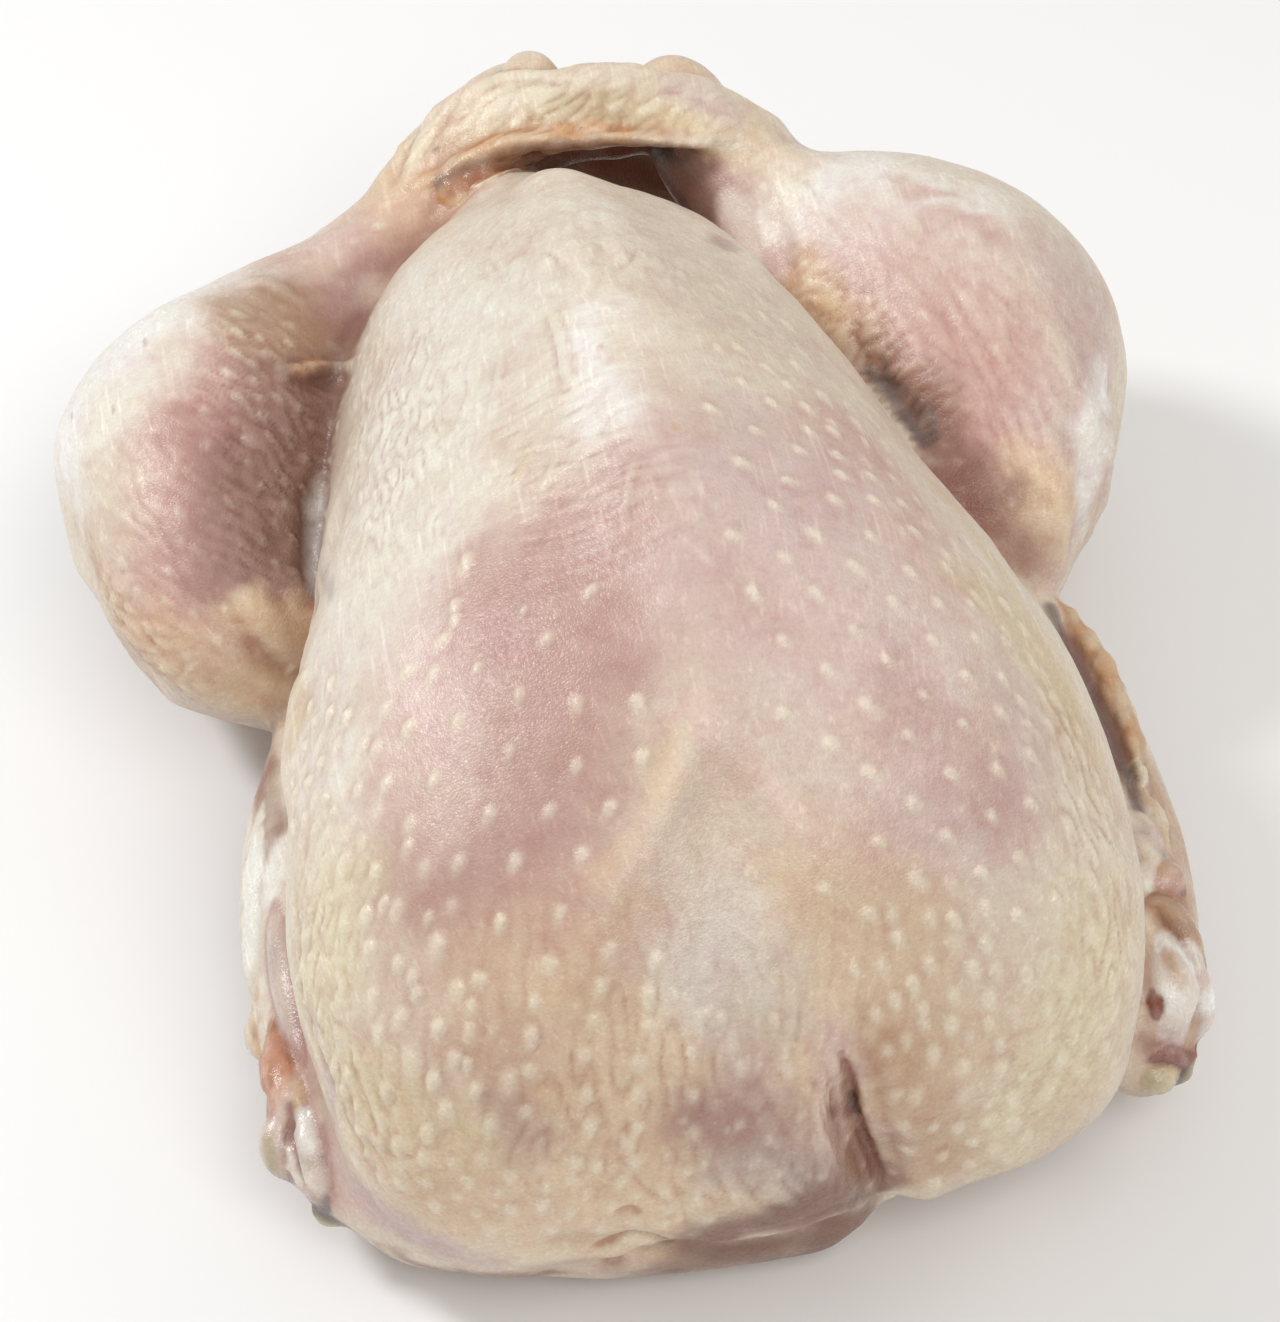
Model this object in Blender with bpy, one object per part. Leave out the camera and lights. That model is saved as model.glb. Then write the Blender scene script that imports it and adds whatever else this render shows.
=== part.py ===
"""A whole raw turkey lying on its back, with its drumsticks tucked under the skin bar at the tail.

Frame: +X to the bird's side, +Y from the neck end to the tail, +Z up. The origin is on the
surface that the bird lies on, under its middle. Lengths in the tables are in millimetres.
"""

import math

import bmesh
import bpy
import numpy as np
from mathutils import Matrix, Vector

MM = 0.001
FORM_VOXEL = 2.4 * MM
TRIANGLES = 11200
MERGE = 0.05 * MM
# The middle of the finished bird, which the tables below are measured from
MIDDLE = (2.26, 24.85)

# Torso from the neck to the tail: y, middle x, half width, widest height, top, bottom, breast roundness
TORSO = [
    (-146, 0, 6, 48, 56, 40, 2.3),
    (-144, 0, 46, 50, 78, 25, 2.3),
    (-137, 0, 74, 56, 100, 12, 2.3),
    (-125, 1, 90, 64, 121, 4, 2.3),
    (-105, 2, 98, 74, 142, 0, 2.2),
    (-75, 1.5, 101.5, 80, 159, -1, 2.1),
    (-40, 1.5, 97.5, 84, 170, -2, 2.05),
    (5, -1, 86, 87, 172, -2, 1.95),
    (60, -2.5, 70.5, 89, 162, -1, 1.85),
    (105, -4, 58, 90, 143, 0, 1.8),
    (135, -3, 43, 88, 121, 6, 1.8),
    (152, -2, 31, 84, 107, 22, 1.9),
    (160, -2, 20, 82, 100, 50, 2.0),
    (164, -2, 6, 80, 92, 65, 2.0),
]
BACK_ROUNDNESS = 2.6
RING_POINTS = 72
RING_COUNT = 90

# Body cavity, open between the breast tip and the tail: x, y, z, radius
CAVITY = [(6, 188, 88, 30), (4, 166, 78, 25), (2, 132, 71, 27), (0, 100, 71, 28)]
CAVITY_VOXEL = 2.0 * MM

# Rounded limbs: x, y, z, radius
LIMBS = {
    "left thigh": [(-45, 85, 40, 36), (-72, 72, 44, 40), (-92, 62, 52, 38)],
    "left drumstick": [(-103, 58, 58, 37), (-103, 79, 61, 43.5), (-98, 98, 62, 46.5), (-82, 117, 67, 36),
                       (-62, 139, 77, 23), (-43, 156, 86, 17), (-20, 172, 96, 15), (-6, 182, 101, 11)],
    "left hock": [(-14, 187, 103, 8), (-2, 190, 105, 9.5), (5, 187, 102, 8)],
    "right thigh": [(48, 85, 40, 38), (82, 72, 46, 40), (98, 62, 52, 36)],
    "right drumstick": [(112, 46, 62, 19), (112, 66, 61, 33), (108, 90, 62, 43), (104, 111, 66, 46),
                        (90, 127, 72, 40), (73, 140, 80, 27), (58, 152, 89, 20), (45, 166, 97, 15),
                        (38, 177, 102, 11)],
    "right hock": [(30, 182, 104, 8), (39, 185, 107, 9.5), (47, 180, 104, 8)],
    "tail": [(0, 112, 30, 29), (2, 138, 32, 27), (3, 160, 37, 22), (4, 178, 45, 14), (4, 187, 50, 10)],
    "tail sides": [(-20, 148, 34, 19), (-12, 170, 42, 13), (4, 186, 48, 10), (20, 170, 42, 13), (26, 148, 34, 19)],
    "left shoulder": [(-60, -94, 40, 30), (-70, -105, 32, 28)],
    "left wing": [(-82, 22, 48, 11), (-87, 5, 43, 15), (-91, -20, 37, 19), (-92, -45, 34, 20), (-92, -70, 33, 18)],
    "left wing joint": [(-93, -80, 33, 17), (-94, -93, 31, 16), (-91, -104, 27, 13)],
    "left wing knob": [(-99, -86, 38, 11), (-101, -95, 32, 11)],
    "right wing": [(102, 30, 48, 11), (108, 8, 43, 15), (111, -15, 37, 18), (111, -45, 34, 20), (110, -66, 33, 20)],
    "right wing web": [(92, 26, 46, 12), (96, -8, 38, 16), (97, -45, 34, 17), (95, -75, 32, 16)],
    "right wing joint": [(109, -78, 34, 18), (107, -94, 32, 16), (103, -104, 27, 12)],
    "right wing knob": [(114, -84, 40, 12), (111, -93, 38, 11)],
}
LIMB_STEPS = 40
BALL_SUBDIVISIONS = 3

# Flat bands of skin: x, y, z of the middle line, width, thickness
BANDS = {
    "skin bar": [(-44, 160, 76, 20, 9), (-39, 163, 90, 26, 9), (-29, 168, 103, 29, 9), (-13, 170, 113, 29, 9),
                 (8, 168, 117, 28, 9), (30, 164, 117, 28, 9), (51, 162, 113, 26, 9), (67, 160, 102, 22, 9),
                 (74, 156, 88, 16, 8)],
}
BAND_LEAN = math.radians(15)
BAND_STEPS = 60
BAND_POINTS = 24

# Soft relief pressed into or raised from the skin along a path: x, y, z, reach, height
RELIEF = {
    "keel": [(-4, 132, 122, 16, 1), (-5, 105, 143, 20, 2), (-6, 39, 166, 26, 2.5), (-2, -3, 172, 28, 3),
             (1, -36, 170, 26, 2.5), (0, -60, 164, 20, 2), (-3, -80, 157, 16, 1.2)],
    "left of the keel": [(-30, 110, 135, 22, -1), (-40, 40, 157, 34, -2.5), (-45, -30, 160, 36, -2.5),
                         (-50, -70, 148, 30, -1)],
    "right of the keel": [(22, 105, 140, 20, -1), (35, 40, 160, 32, -2.5), (45, -20, 160, 36, -2.5),
                          (45, -65, 150, 30, -1)],
    "left wishbone": [(-3, -78, 158, 12, 0.6), (-14, -92, 150, 13, 1.8), (-21, -104, 141, 14, 2),
                      (-31, -110, 134, 14, 2), (-38, -118, 125, 14, 1.5), (-43, -124, 118, 14, 0.8)],
    "right wishbone": [(2, -82, 156, 12, 0.4), (9, -97, 147, 13, 1.3), (20, -108, 138, 14, 1.3),
                       (34, -117, 128, 14, 1)],
    "wishbone hollow": [(0, -94, 149, 12, -1), (0, -110, 136, 16, -1.3)],
    "crop": [(0, -122, 120, 34, 2), (-3, -136, 98, 36, 3.5), (-3, -142, 66, 32, 4)],
    "right shoulder": [(57, -138, 72, 36, -1.5), (60, -136, 46, 48, -6), (64, -131, 16, 52, -11)],
    "right of the crease": [(42, -142, 62, 18, -1.5), (44, -140, 38, 24, -3.5), (46, -134, 13, 30, -6)],
    "neck crease": [(17, -134, 105, 7, -1.5), (20, -138, 96, 8, -4), (21, -142, 85, 9, -7), (24, -144, 71, 10, -8),
                    (30, -144, 54, 11, -8), (34, -139, 34, 11, -6)],
    "neck fold": [(-48, -144, 50, 7, -1.5), (-34, -147, 46, 8, -2.5), (-18, -147, 42, 7, -1.5)],
    "right wing trough": [(99, 12, 58, 9, -2), (101, -25, 55, 10, -3), (102, -55, 52, 10, -3)],
}
RELIEF_STEPS = 60
SMOOTHING_ROUNDS = 6
SMOOTHING = 0.5

SKIN_COLOUR = (0.75, 0.55, 0.42, 1)
SKIN_ROUGHNESS = 0.4


def clear_scene():
    for obj in list(bpy.data.objects):
        bpy.data.objects.remove(obj)


def smooth_through(rows, count):
    """Rows of numbers read at count even steps of a Catmull-Rom curve through them."""
    rows = np.asarray(rows, float)
    padded = np.vstack([2 * rows[0] - rows[1], rows, 2 * rows[-1] - rows[-2]])
    at = np.linspace(0, len(rows) - 1, count)
    first = np.minimum(at.astype(int), len(rows) - 2)
    t = (at - first)[:, None]
    a, b, c, d = (padded[first + k] for k in range(4))
    return 0.5 * (2 * b + (c - a) * t + (2 * a - 5 * b + 4 * c - d) * t**2 + (3 * b - a - 3 * c + d) * t**3)


def mesh_object(name, bm):
    mesh = bpy.data.meshes.new(name)
    bm.to_mesh(mesh)
    bm.free()
    obj = bpy.data.objects.new(name, mesh)
    bpy.context.scene.collection.objects.link(obj)
    return obj


def skin_rings(name, rings):
    """A closed body through closed rings of points."""
    bm = bmesh.new()
    loops = []
    for ring in rings:
        verts = [bm.verts.new(p) for p in ring]
        loops.append([bm.edges.new((verts[k - 1], verts[k])) for k in range(len(verts))])
    for near, far in zip(loops, loops[1:]):
        bmesh.ops.bridge_loops(bm, edges=near + far)
    for end in (loops[0], loops[-1]):
        bmesh.ops.contextual_create(bm, geom=end)
    bmesh.ops.recalc_face_normals(bm, faces=bm.faces)
    return mesh_object(name, bm)


def torso_ring(row):
    """One cross-section of the torso, a superellipse with its own upper and lower half."""
    y, middle, half, widest, top, bottom, breast_roundness = row
    points = []
    for k in range(RING_POINTS):
        angle = 2 * math.pi * k / RING_POINTS
        across, up = math.cos(angle), math.sin(angle)
        power = breast_roundness if up >= 0 else BACK_ROUNDNESS
        reach = (abs(across) ** power + abs(up) ** power) ** (-1 / power)
        rise = (top - widest) if up >= 0 else (widest - bottom)
        points.append(Vector((middle + half * across * reach, y, widest + rise * up * reach)) * MM)
    return points


def make_limb(name, stations):
    """A tapered round limb through stations, with round ends."""
    bm = bmesh.new()
    for x, y, z, radius in smooth_through(stations, LIMB_STEPS):
        place = Matrix.Translation(Vector((x, y, z)) * MM)
        bmesh.ops.create_icosphere(bm, subdivisions=BALL_SUBDIVISIONS, radius=radius * MM, matrix=place)
    return mesh_object(name, bm)


def make_band(name, stations):
    """A flat band with rounded edges that follows a path."""
    rows = smooth_through(stations, BAND_STEPS)
    across = Vector((0, math.cos(BAND_LEAN), math.sin(BAND_LEAN)))
    rings = []
    for k, (x, y, z, width, thickness) in enumerate(rows):
        before = rows[max(k - 1, 0)]
        after = rows[min(k + 1, BAND_STEPS - 1)]
        along = Vector(after[:3] - before[:3]).normalized()
        side = (across - along * across.dot(along)).normalized()
        up = along.cross(side)
        ring = []
        for n in range(BAND_POINTS):
            angle = 2 * math.pi * n / BAND_POINTS
            offset = side * (width / 2 * math.cos(angle)) + up * (thickness / 2 * math.sin(angle))
            ring.append((Vector((x, y, z)) + offset) * MM)
        rings.append(ring)
    return skin_rings(name, rings)


def apply_modifiers(obj):
    graph = bpy.context.evaluated_depsgraph_get()
    mesh = bpy.data.meshes.new_from_object(obj.evaluated_get(graph))
    obj.modifiers.clear()
    obj.data = mesh


def one_skin(obj, voxel):
    """One closed skin over everything in the object."""
    remesh = obj.modifiers.new("one skin", "REMESH")
    remesh.mode = "VOXEL"
    remesh.voxel_size = voxel
    apply_modifiers(obj)


def join(name, pieces):
    bm = bmesh.new()
    for piece in pieces:
        bm.from_mesh(piece.data)
        bpy.data.objects.remove(piece)
    return mesh_object(name, bm)


def carve(obj, hollow):
    cut = obj.modifiers.new("hollow", "BOOLEAN")
    cut.operation = "DIFFERENCE"
    cut.object = hollow
    apply_modifiers(obj)
    bpy.data.objects.remove(hollow)


def relax(obj, rounds):
    bm = bmesh.new()
    bm.from_mesh(obj.data)
    for _ in range(rounds):
        bmesh.ops.smooth_vert(bm, verts=bm.verts, factor=SMOOTHING, use_axis_x=True, use_axis_y=True,
                               use_axis_z=True)
    bm.to_mesh(obj.data)
    bm.free()


def points_and_normals(mesh):
    points = np.empty(len(mesh.vertices) * 3)
    normals = np.empty(len(mesh.vertices) * 3)
    mesh.vertices.foreach_get("co", points)
    mesh.vertex_normals.foreach_get("vector", normals)
    return points.reshape(-1, 3), normals.reshape(-1, 3)


def shape_relief(obj, paths):
    """Move the skin along its normals near each path, full on the path and nothing at its reach."""
    for path in paths.values():
        points, normals = points_and_normals(obj.data)
        strongest = np.zeros(len(points))
        for x, y, z, reach, height in smooth_through(path, RELIEF_STEPS):
            distance = np.linalg.norm(points / MM - (x, y, z), axis=1) / reach
            pull = height * np.clip(1 - distance**2, 0, 1) ** 2
            strongest = np.where(abs(pull) > abs(strongest), pull, strongest)
        points = points + normals * (strongest * MM)[:, None]
        obj.data.vertices.foreach_set("co", points.ravel())
        obj.data.update()


def thin_out(obj, triangles):
    count = sum(len(face.vertices) - 2 for face in obj.data.polygons)
    thin = obj.modifiers.new("thin out", "DECIMATE")
    thin.ratio = triangles / count
    apply_modifiers(obj)


def lay_flat(obj):
    """Cut the back level where it lies and close the cut."""
    bm = bmesh.new()
    bm.from_mesh(obj.data)
    everything = list(bm.verts) + list(bm.edges) + list(bm.faces)
    cut = bmesh.ops.bisect_plane(bm, geom=everything, dist=MERGE, plane_co=(0, 0, 0), plane_no=(0, 0, -1),
                                 clear_outer=True)
    rim = [item for item in cut["geom_cut"] if isinstance(item, bmesh.types.BMEdge)]
    bmesh.ops.holes_fill(bm, edges=rim, sides=0)
    bmesh.ops.triangulate(bm, faces=bm.faces)
    for vert in bm.verts:
        if vert.co.z < MERGE:
            vert.co.z = 0
    bmesh.ops.recalc_face_normals(bm, faces=bm.faces)
    bm.to_mesh(obj.data)
    bm.free()


def centre_on_origin(obj):
    obj.data.transform(Matrix.Translation((-MIDDLE[0] * MM, -MIDDLE[1] * MM, 0)))


def give_material(obj, name, colour, roughness):
    material = bpy.data.materials.new(name)
    material.use_nodes = True
    shader = material.node_tree.nodes["Principled BSDF"]
    shader.inputs["Base Color"].default_value = colour
    shader.inputs["Roughness"].default_value = roughness
    shader.inputs["Metallic"].default_value = 0.0
    obj.data.materials.clear()
    obj.data.materials.append(material)


def main():
    clear_scene()
    torso = skin_rings("torso", [torso_ring(row) for row in smooth_through(TORSO, RING_COUNT)])
    hollow = make_limb("cavity", CAVITY)
    one_skin(hollow, CAVITY_VOXEL)
    carve(torso, hollow)
    pieces = [torso]
    pieces += [make_limb(name, stations) for name, stations in LIMBS.items()]
    pieces += [make_band(name, stations) for name, stations in BANDS.items()]
    turkey = join("turkey", pieces)
    one_skin(turkey, FORM_VOXEL)
    relax(turkey, SMOOTHING_ROUNDS)
    shape_relief(turkey, RELIEF)
    thin_out(turkey, TRIANGLES)
    lay_flat(turkey)
    centre_on_origin(turkey)
    turkey.data.shade_smooth()
    give_material(turkey, "raw skin", SKIN_COLOUR, SKIN_ROUGHNESS)


main()
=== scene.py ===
"""A whole raw turkey on its back, dressed round its packed form.

One fine skin is grown from the form, sculpted with muscles, folds, wrinkles and feather follicles, and
tinted. Landmarks that the photograph shows are given by their pixel there and land on the skin;
everything else is placed in millimetres in the frame of the form.
"""

import math
import random

import bmesh
import bpy
import numpy as np
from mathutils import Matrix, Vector, noise
from mathutils.bvhtree import BVHTree
from mathutils.kdtree import KDTree


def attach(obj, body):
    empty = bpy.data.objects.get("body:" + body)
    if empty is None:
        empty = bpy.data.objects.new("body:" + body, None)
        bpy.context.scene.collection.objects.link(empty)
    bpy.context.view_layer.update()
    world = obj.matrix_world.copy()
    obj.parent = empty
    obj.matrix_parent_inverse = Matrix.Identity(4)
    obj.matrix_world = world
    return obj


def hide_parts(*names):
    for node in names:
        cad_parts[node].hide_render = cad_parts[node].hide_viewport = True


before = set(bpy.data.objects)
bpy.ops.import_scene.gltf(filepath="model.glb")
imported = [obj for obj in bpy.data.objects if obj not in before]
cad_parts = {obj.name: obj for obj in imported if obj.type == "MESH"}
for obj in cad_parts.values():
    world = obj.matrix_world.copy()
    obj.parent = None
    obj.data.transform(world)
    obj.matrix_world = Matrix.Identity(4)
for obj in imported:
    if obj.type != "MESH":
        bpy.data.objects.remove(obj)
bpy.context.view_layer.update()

MM = 0.001
BODY = "root"
NODE = "turkey"

# The photograph's frame and camera
PHOTO_WIDTH = 1280
PHOTO_HEIGHT = 1322
LENS = 92
SENSOR = 36
CAMERA_AZIMUTH = math.radians(-10)
CAMERA_ELEVATION = math.radians(50)
CAMERA_DISTANCE = 850 * MM
CAMERA_TARGET = Vector((-5.26, -24.85, 80)) * MM

# Lines of pixels that are both shaped and tinted
BREAST_TIP_LIP = [(430, 220), (480, 186), (520, 170), (562, 171)]
YELLOW_SCAB = [(524, 456), (520, 468), (514, 478)]

# The grown skin
SKIN_VOXEL = 1.05 * MM
MERGE = 0.02 * MM
ROUNDING_LEVELS = 2
RELAX_FACTOR = 0.5
RELAX_ROUNDS = 8
SEED = 7

# How a line of spots is followed: steps of a fine curve, places for each spot of a form and of a lean, how
# fast a form rises at its ends, how it fades where the skin turns away, and, in steps of mm, how far a pixel
# beside the bird looks for it
FINE_STEPS = 200
FORM_STEPS = 8
LEAN_STEPS = 6
TAPER = 0.45
TURN_FADE = (0.5, 1.2)
SEARCH_STEP = 10
SEARCH = range(-16, 17)

# The soft lights: azimuth and elevation in degrees, distance and width in metres, power and colour
LIGHTS = {
    "window": (-112, 48, 1.4, 0.28, 8.9, (0.985, 0.995, 1.0)),
    "fill": (16, 56, 1.6, 0.8, 7.6, (1.0, 0.985, 0.96)),
    "side fill": (98, 44, 1.6, 0.9, 4.2, (1.0, 0.94, 0.85)),
}
AIR_LIGHT = 0.43
FLOOR_REACH = 3.0
FLOOR_TONE = (0.95, 0.95, 0.95, 1)

# Leans of the form across the view: pixels along the lean, its reach, and how far it goes to the right and
# up in mm
LEANS = {
    "left knee side": ([(62, 556), (84, 626), (110, 670)], 34, 6.2, 1.8),
    "left knee bottom": ([(130, 694), (165, 718), (202, 734), (236, 738)], 24, 0.8, 5.0),
    "left thigh top": ([(66, 430), (90, 386), (130, 344), (180, 310), (240, 282)], 28, -1.8, 2.8),
    "right calf side": ([(1138, 436), (1136, 480), (1118, 530)], 30, -6.4, 1.6),
    "right calf upper side": ([(1126, 346), (1132, 390)], 16, -1.6, 0),
    "right calf lower side": ([(1094, 538)], 12, -2.6, 0),
    "right flank side": ([(880, 400), (940, 480), (1000, 570), (1056, 680), (1096, 760)], 32, -3.8, 0),
    "left breast edge": ([(326, 540), (314, 590), (305, 624)], 15, 4.6, 0),
    "left flank edge": ([(300, 700), (296, 730), (292, 764)], 13, -3.0, 0),
    "strap left end": ([(400, 164), (432, 120), (470, 92), (500, 78)], 15, -2.0, 1.8),
    "strap right end": ([(748, 90), (778, 110), (802, 132)], 15, -3.2, -1.0),
    "strap top": ([(580, 70), (630, 70)], 10, 0, 1.8),
    "flank lobe": ([(928, 1176), (970, 1160), (1010, 1146), (1050, 1126), (1090, 1098)], 30, 1.2, -5.2),
    "neck": ([(570, 1284), (610, 1282), (650, 1280), (690, 1274), (730, 1270), (770, 1264), (812, 1256),
              (850, 1240)], 20, -0.8, 4.4),
    "under the bulge": ([(660, 1272), (700, 1268), (740, 1262), (790, 1254), (830, 1246)], 14, 0, 5.0),
    "lobe notch": ([(884, 1214), (904, 1208)], 9, 0, 5.6),
    "breast tip": ([(470, 200), (520, 184), (570, 180)], 14, -0.5, 1.2),
}

# Soft forms of the flesh: pixels along the form, reach and height in mm
FLESH = {
    "wishbone top": ([(694, 590), (700, 650), (702, 720)], 5, 0.25),
    "left wishbone arm": ([(698, 700), (690, 745), (668, 795), (640, 850), (602, 905), (560, 985)], 6, 0.4),
    "right wishbone arm": ([(706, 705), (740, 755), (785, 800), (832, 850), (890, 900)], 6, 0.35),
    "beside the left arm": ([(660, 720), (636, 790), (604, 850), (560, 920)], 8, -0.3),
    "beside the right arm": ([(750, 730), (800, 780), (850, 830)], 8, -0.3),
    "hollow under the wishbone": ([(702, 800), (720, 880), (715, 960)], 20, -0.45),
    "keel crest": ([(600, 250), (612, 330), (640, 410), (668, 470), (690, 540)], 14, 0.7),
    "dip left of the keel": ([(520, 330), (540, 440), (560, 540)], 26, -0.6),
    "dip right of the keel": ([(690, 330), (740, 450), (770, 520)], 24, -0.5),
    "left tract furrow": ([(470, 600), (400, 760), (370, 900)], 16, -0.8),
    "left knee web": ([(244, 590), (262, 618), (284, 640)], 6, 1.8),
    "under the left web": ([(250, 648), (268, 664), (286, 674)], 6, -2.0),
    "left recess": ([(316, 480), (310, 540), (314, 610)], 6, -2.4),
    "left shin fold": ([(280, 376), (300, 371), (324, 369), (356, 366)], 3.4, 2.0),
    "under the shin fold": ([(290, 386), (322, 384), (352, 382)], 5, -1.2),
    "left ankle tendon": ([(244, 285), (262, 283), (278, 289), (300, 304)], 3.4, 1.0),
    "left calf furrow": ([(180, 310), (204, 380), (236, 440), (262, 520), (280, 590)], 12, -1.0),
    "left calf second furrow": ([(250, 330), (272, 400), (290, 470)], 8, -0.8),
    "left knee cap": ([(190, 655), (260, 695)], 18, 1.5),
    "right recess": ([(876, 372), (904, 410), (932, 452)], 5, -2.0),
    "right tan lump": ([(800, 300), (830, 262)], 9, 1.6),
    "right calf ridge": ([(1010, 262), (1062, 350), (1098, 440)], 9, 0.9),
    "right rim": ([(1110, 400), (1108, 470), (1096, 540)], 6, 1.0),
    "right rim groove": ([(1078, 420), (1084, 480), (1074, 540)], 7, -1.0),
    "right calf furrow": ([(930, 300), (980, 380), (1010, 460)], 12, -1.0),
    "right ankle groove": ([(760, 165), (775, 215), (790, 265)], 6, -1.2),
    "right ankle": ([(722, 190), (742, 240), (762, 285)], 10, 1.2),
    "right lower knee": ([(1046, 560), (1060, 580)], 8, 1.2),
    "breast tip rise": ([(480, 190), (530, 176), (590, 180)], 16, 2.2),
    "closed crease": ([(828, 1010), (839, 1048), (849, 1080)], 8, 1.6),
    "dip beside the crease": ([(818, 1040), (832, 1080), (842, 1120), (856, 1160)], 9, -0.8),
    "crease line": ([(839, 1050), (847, 1066), (851, 1078), (853, 1092), (856, 1112), (863, 1132), (871, 1152),
                     (878, 1176), (882, 1190)], 2.2, -2.2),
    "crease lip": ([(850, 1050), (860, 1078), (866, 1106), (874, 1132), (886, 1164)], 4.4, 1.5),
    "first crease wrinkle": ([(826, 1060), (834, 1090), (840, 1120)], 2, -0.7),
    "second crease wrinkle": ([(816, 1080), (824, 1110), (836, 1150)], 2, -0.6),
    "left wing groove": ([(296, 900), (300, 980), (318, 1050), (344, 1120), (380, 1190)], 5, -1.6),
    "between the condyles": ([(290, 1102), (291, 1136), (296, 1172), (306, 1204)], 2.4, -2.0),
    "neck fold": ([(596, 1246), (606, 1242), (618, 1236), (632, 1233), (652, 1236), (672, 1243)], 2.0, -1.7),
    "neck fold lip": ([(600, 1252), (616, 1245), (634, 1241), (660, 1244)], 2.4, 0.5),
    "neck fold brow": ([(600, 1230), (632, 1221), (666, 1228)], 6, 0.5),
    "neck upper fold": ([(616, 1212), (630, 1209), (640, 1213)], 2, -0.9),
    "neck nub": ([(614, 1252), (656, 1254)], 5, 0.6),
    "neck notch": ([(612, 1258), (615, 1268)], 5, -2.0),
    "bulge blister": ([(767, 1190)], 3.2, 1.4),
    "bulge hollow": ([(730, 1110), (790, 1160)], 14, -1.0),
    "bulge rim": ([(730, 1238), (764, 1233), (800, 1225), (836, 1211), (868, 1196)], 5, -1.3),
    "above the strap lip": ([(430, 168), (480, 140), (520, 124), (571, 130), (640, 124), (700, 134)], 5, -1.4),
    "strap crumple": ([(428, 112), (406, 150), (392, 184)], 4, -1.2),
    "strap second crumple": ([(450, 112), (430, 150), (416, 176)], 4, -1.0),
    "strap top fold": ([(460, 92), (510, 76), (566, 72)], 4, 1.2),
    "breast tip lip": (BREAST_TIP_LIP, 2.4, 0.8),
    "right wing trough": ([(1062, 622), (1078, 659), (1100, 711), (1116, 745), (1128, 773), (1139, 812)], 3.4,
                          -2.0),
}

# The uneven lie of soft flesh: sizes and heights of its lumps in mm
UNEVEN = ((34, 0.9), (13, 0.35), (4.6, 0.1))

# Bands of parallel creases: pixels along the first and the last one, how many, width and height in mm
CREASES = {
    "across the breast": ([(500, 474), (560, 462), (640, 440)], [(524, 600), (610, 574), (698, 526)], 15, 1.5,
                          -0.3),
    "under the keel": ([(468, 428), (530, 402), (586, 381)], [(492, 462), (560, 446), (630, 424)], 5, 1.3, -0.2),
    "down the breast": ([(508, 470), (500, 560)], [(640, 480), (622, 580)], 9, 1.3, 0.16),
    "left leg": ([(196, 440), (262, 486)], [(214, 560), (290, 600)], 7, 1.8, 0.4),
    "strap left end": ([(424, 96), (404, 134), (392, 176)], [(476, 90), (448, 136), (424, 180)], 4, 2.6, 0.6),
    "strap middle": ([(470, 84), (560, 78), (650, 78)], [(480, 138), (560, 124), (660, 124)], 4, 2.0, 0.35),
    "beside the slit": ([(804, 1080), (826, 1150)], [(836, 1056), (850, 1140)], 3, 1.3, -0.22),
}

# How far the creases of a band stray from even steps, how strong they are, and how much painted shade they get
CREASE_STRAY = 0.35
CREASE_STRENGTH = (0.5, 1.2)
CREASE_DARKNESS = 0.7

# Thin raised wrinkles: pixels, width and height in mm
WRINKLES = {
    "calf vein one": ([(946, 292), (956, 318), (966, 338)], 1.2, 0.3),
    "calf vein two": ([(968, 330), (996, 352), (1016, 382)], 1.2, 0.3),
    "calf vein three": ([(1000, 300), (1018, 332), (1040, 356)], 1.2, 0.28),
    "calf vein four": ([(1030, 396), (1048, 430), (1056, 468)], 1.2, 0.25),
    "ankle tendon": ([(786, 176), (812, 200), (830, 236)], 1.8, 0.5),
    "shin vein": ([(150, 396), (176, 420), (206, 430)], 1.2, 0.25),
    "keel wrinkle": ([(550, 310), (554, 320), (560, 336), (563, 352), (566, 372), (578, 390)], 1.9, 0.9),
    "first pinch": ([(556, 448), (548, 470), (541, 490)], 1.5, 0.4),
    "yellow scab": (YELLOW_SCAB, 1.9, 0.7),
    "second pinch": ([(634, 458), (628, 490), (622, 520)], 1.6, 0.5),
    "third pinch": ([(584, 458), (588, 482)], 1.5, 0.4),
    "tip wrinkle": ([(566, 192), (572, 216), (568, 236), (582, 260)], 1.7, 0.4),
    "tip second wrinkle": ([(604, 212), (618, 246), (630, 272)], 1.7, 0.4),
    "long pinch": ([(500, 356), (496, 384), (490, 416)], 1.7, 0.5),
    "right pinch": ([(688, 466), (700, 490), (718, 510)], 1.5, 0.4),
    "right low pinch": ([(680, 534), (700, 554), (720, 568)], 1.5, 0.4),
}

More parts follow.
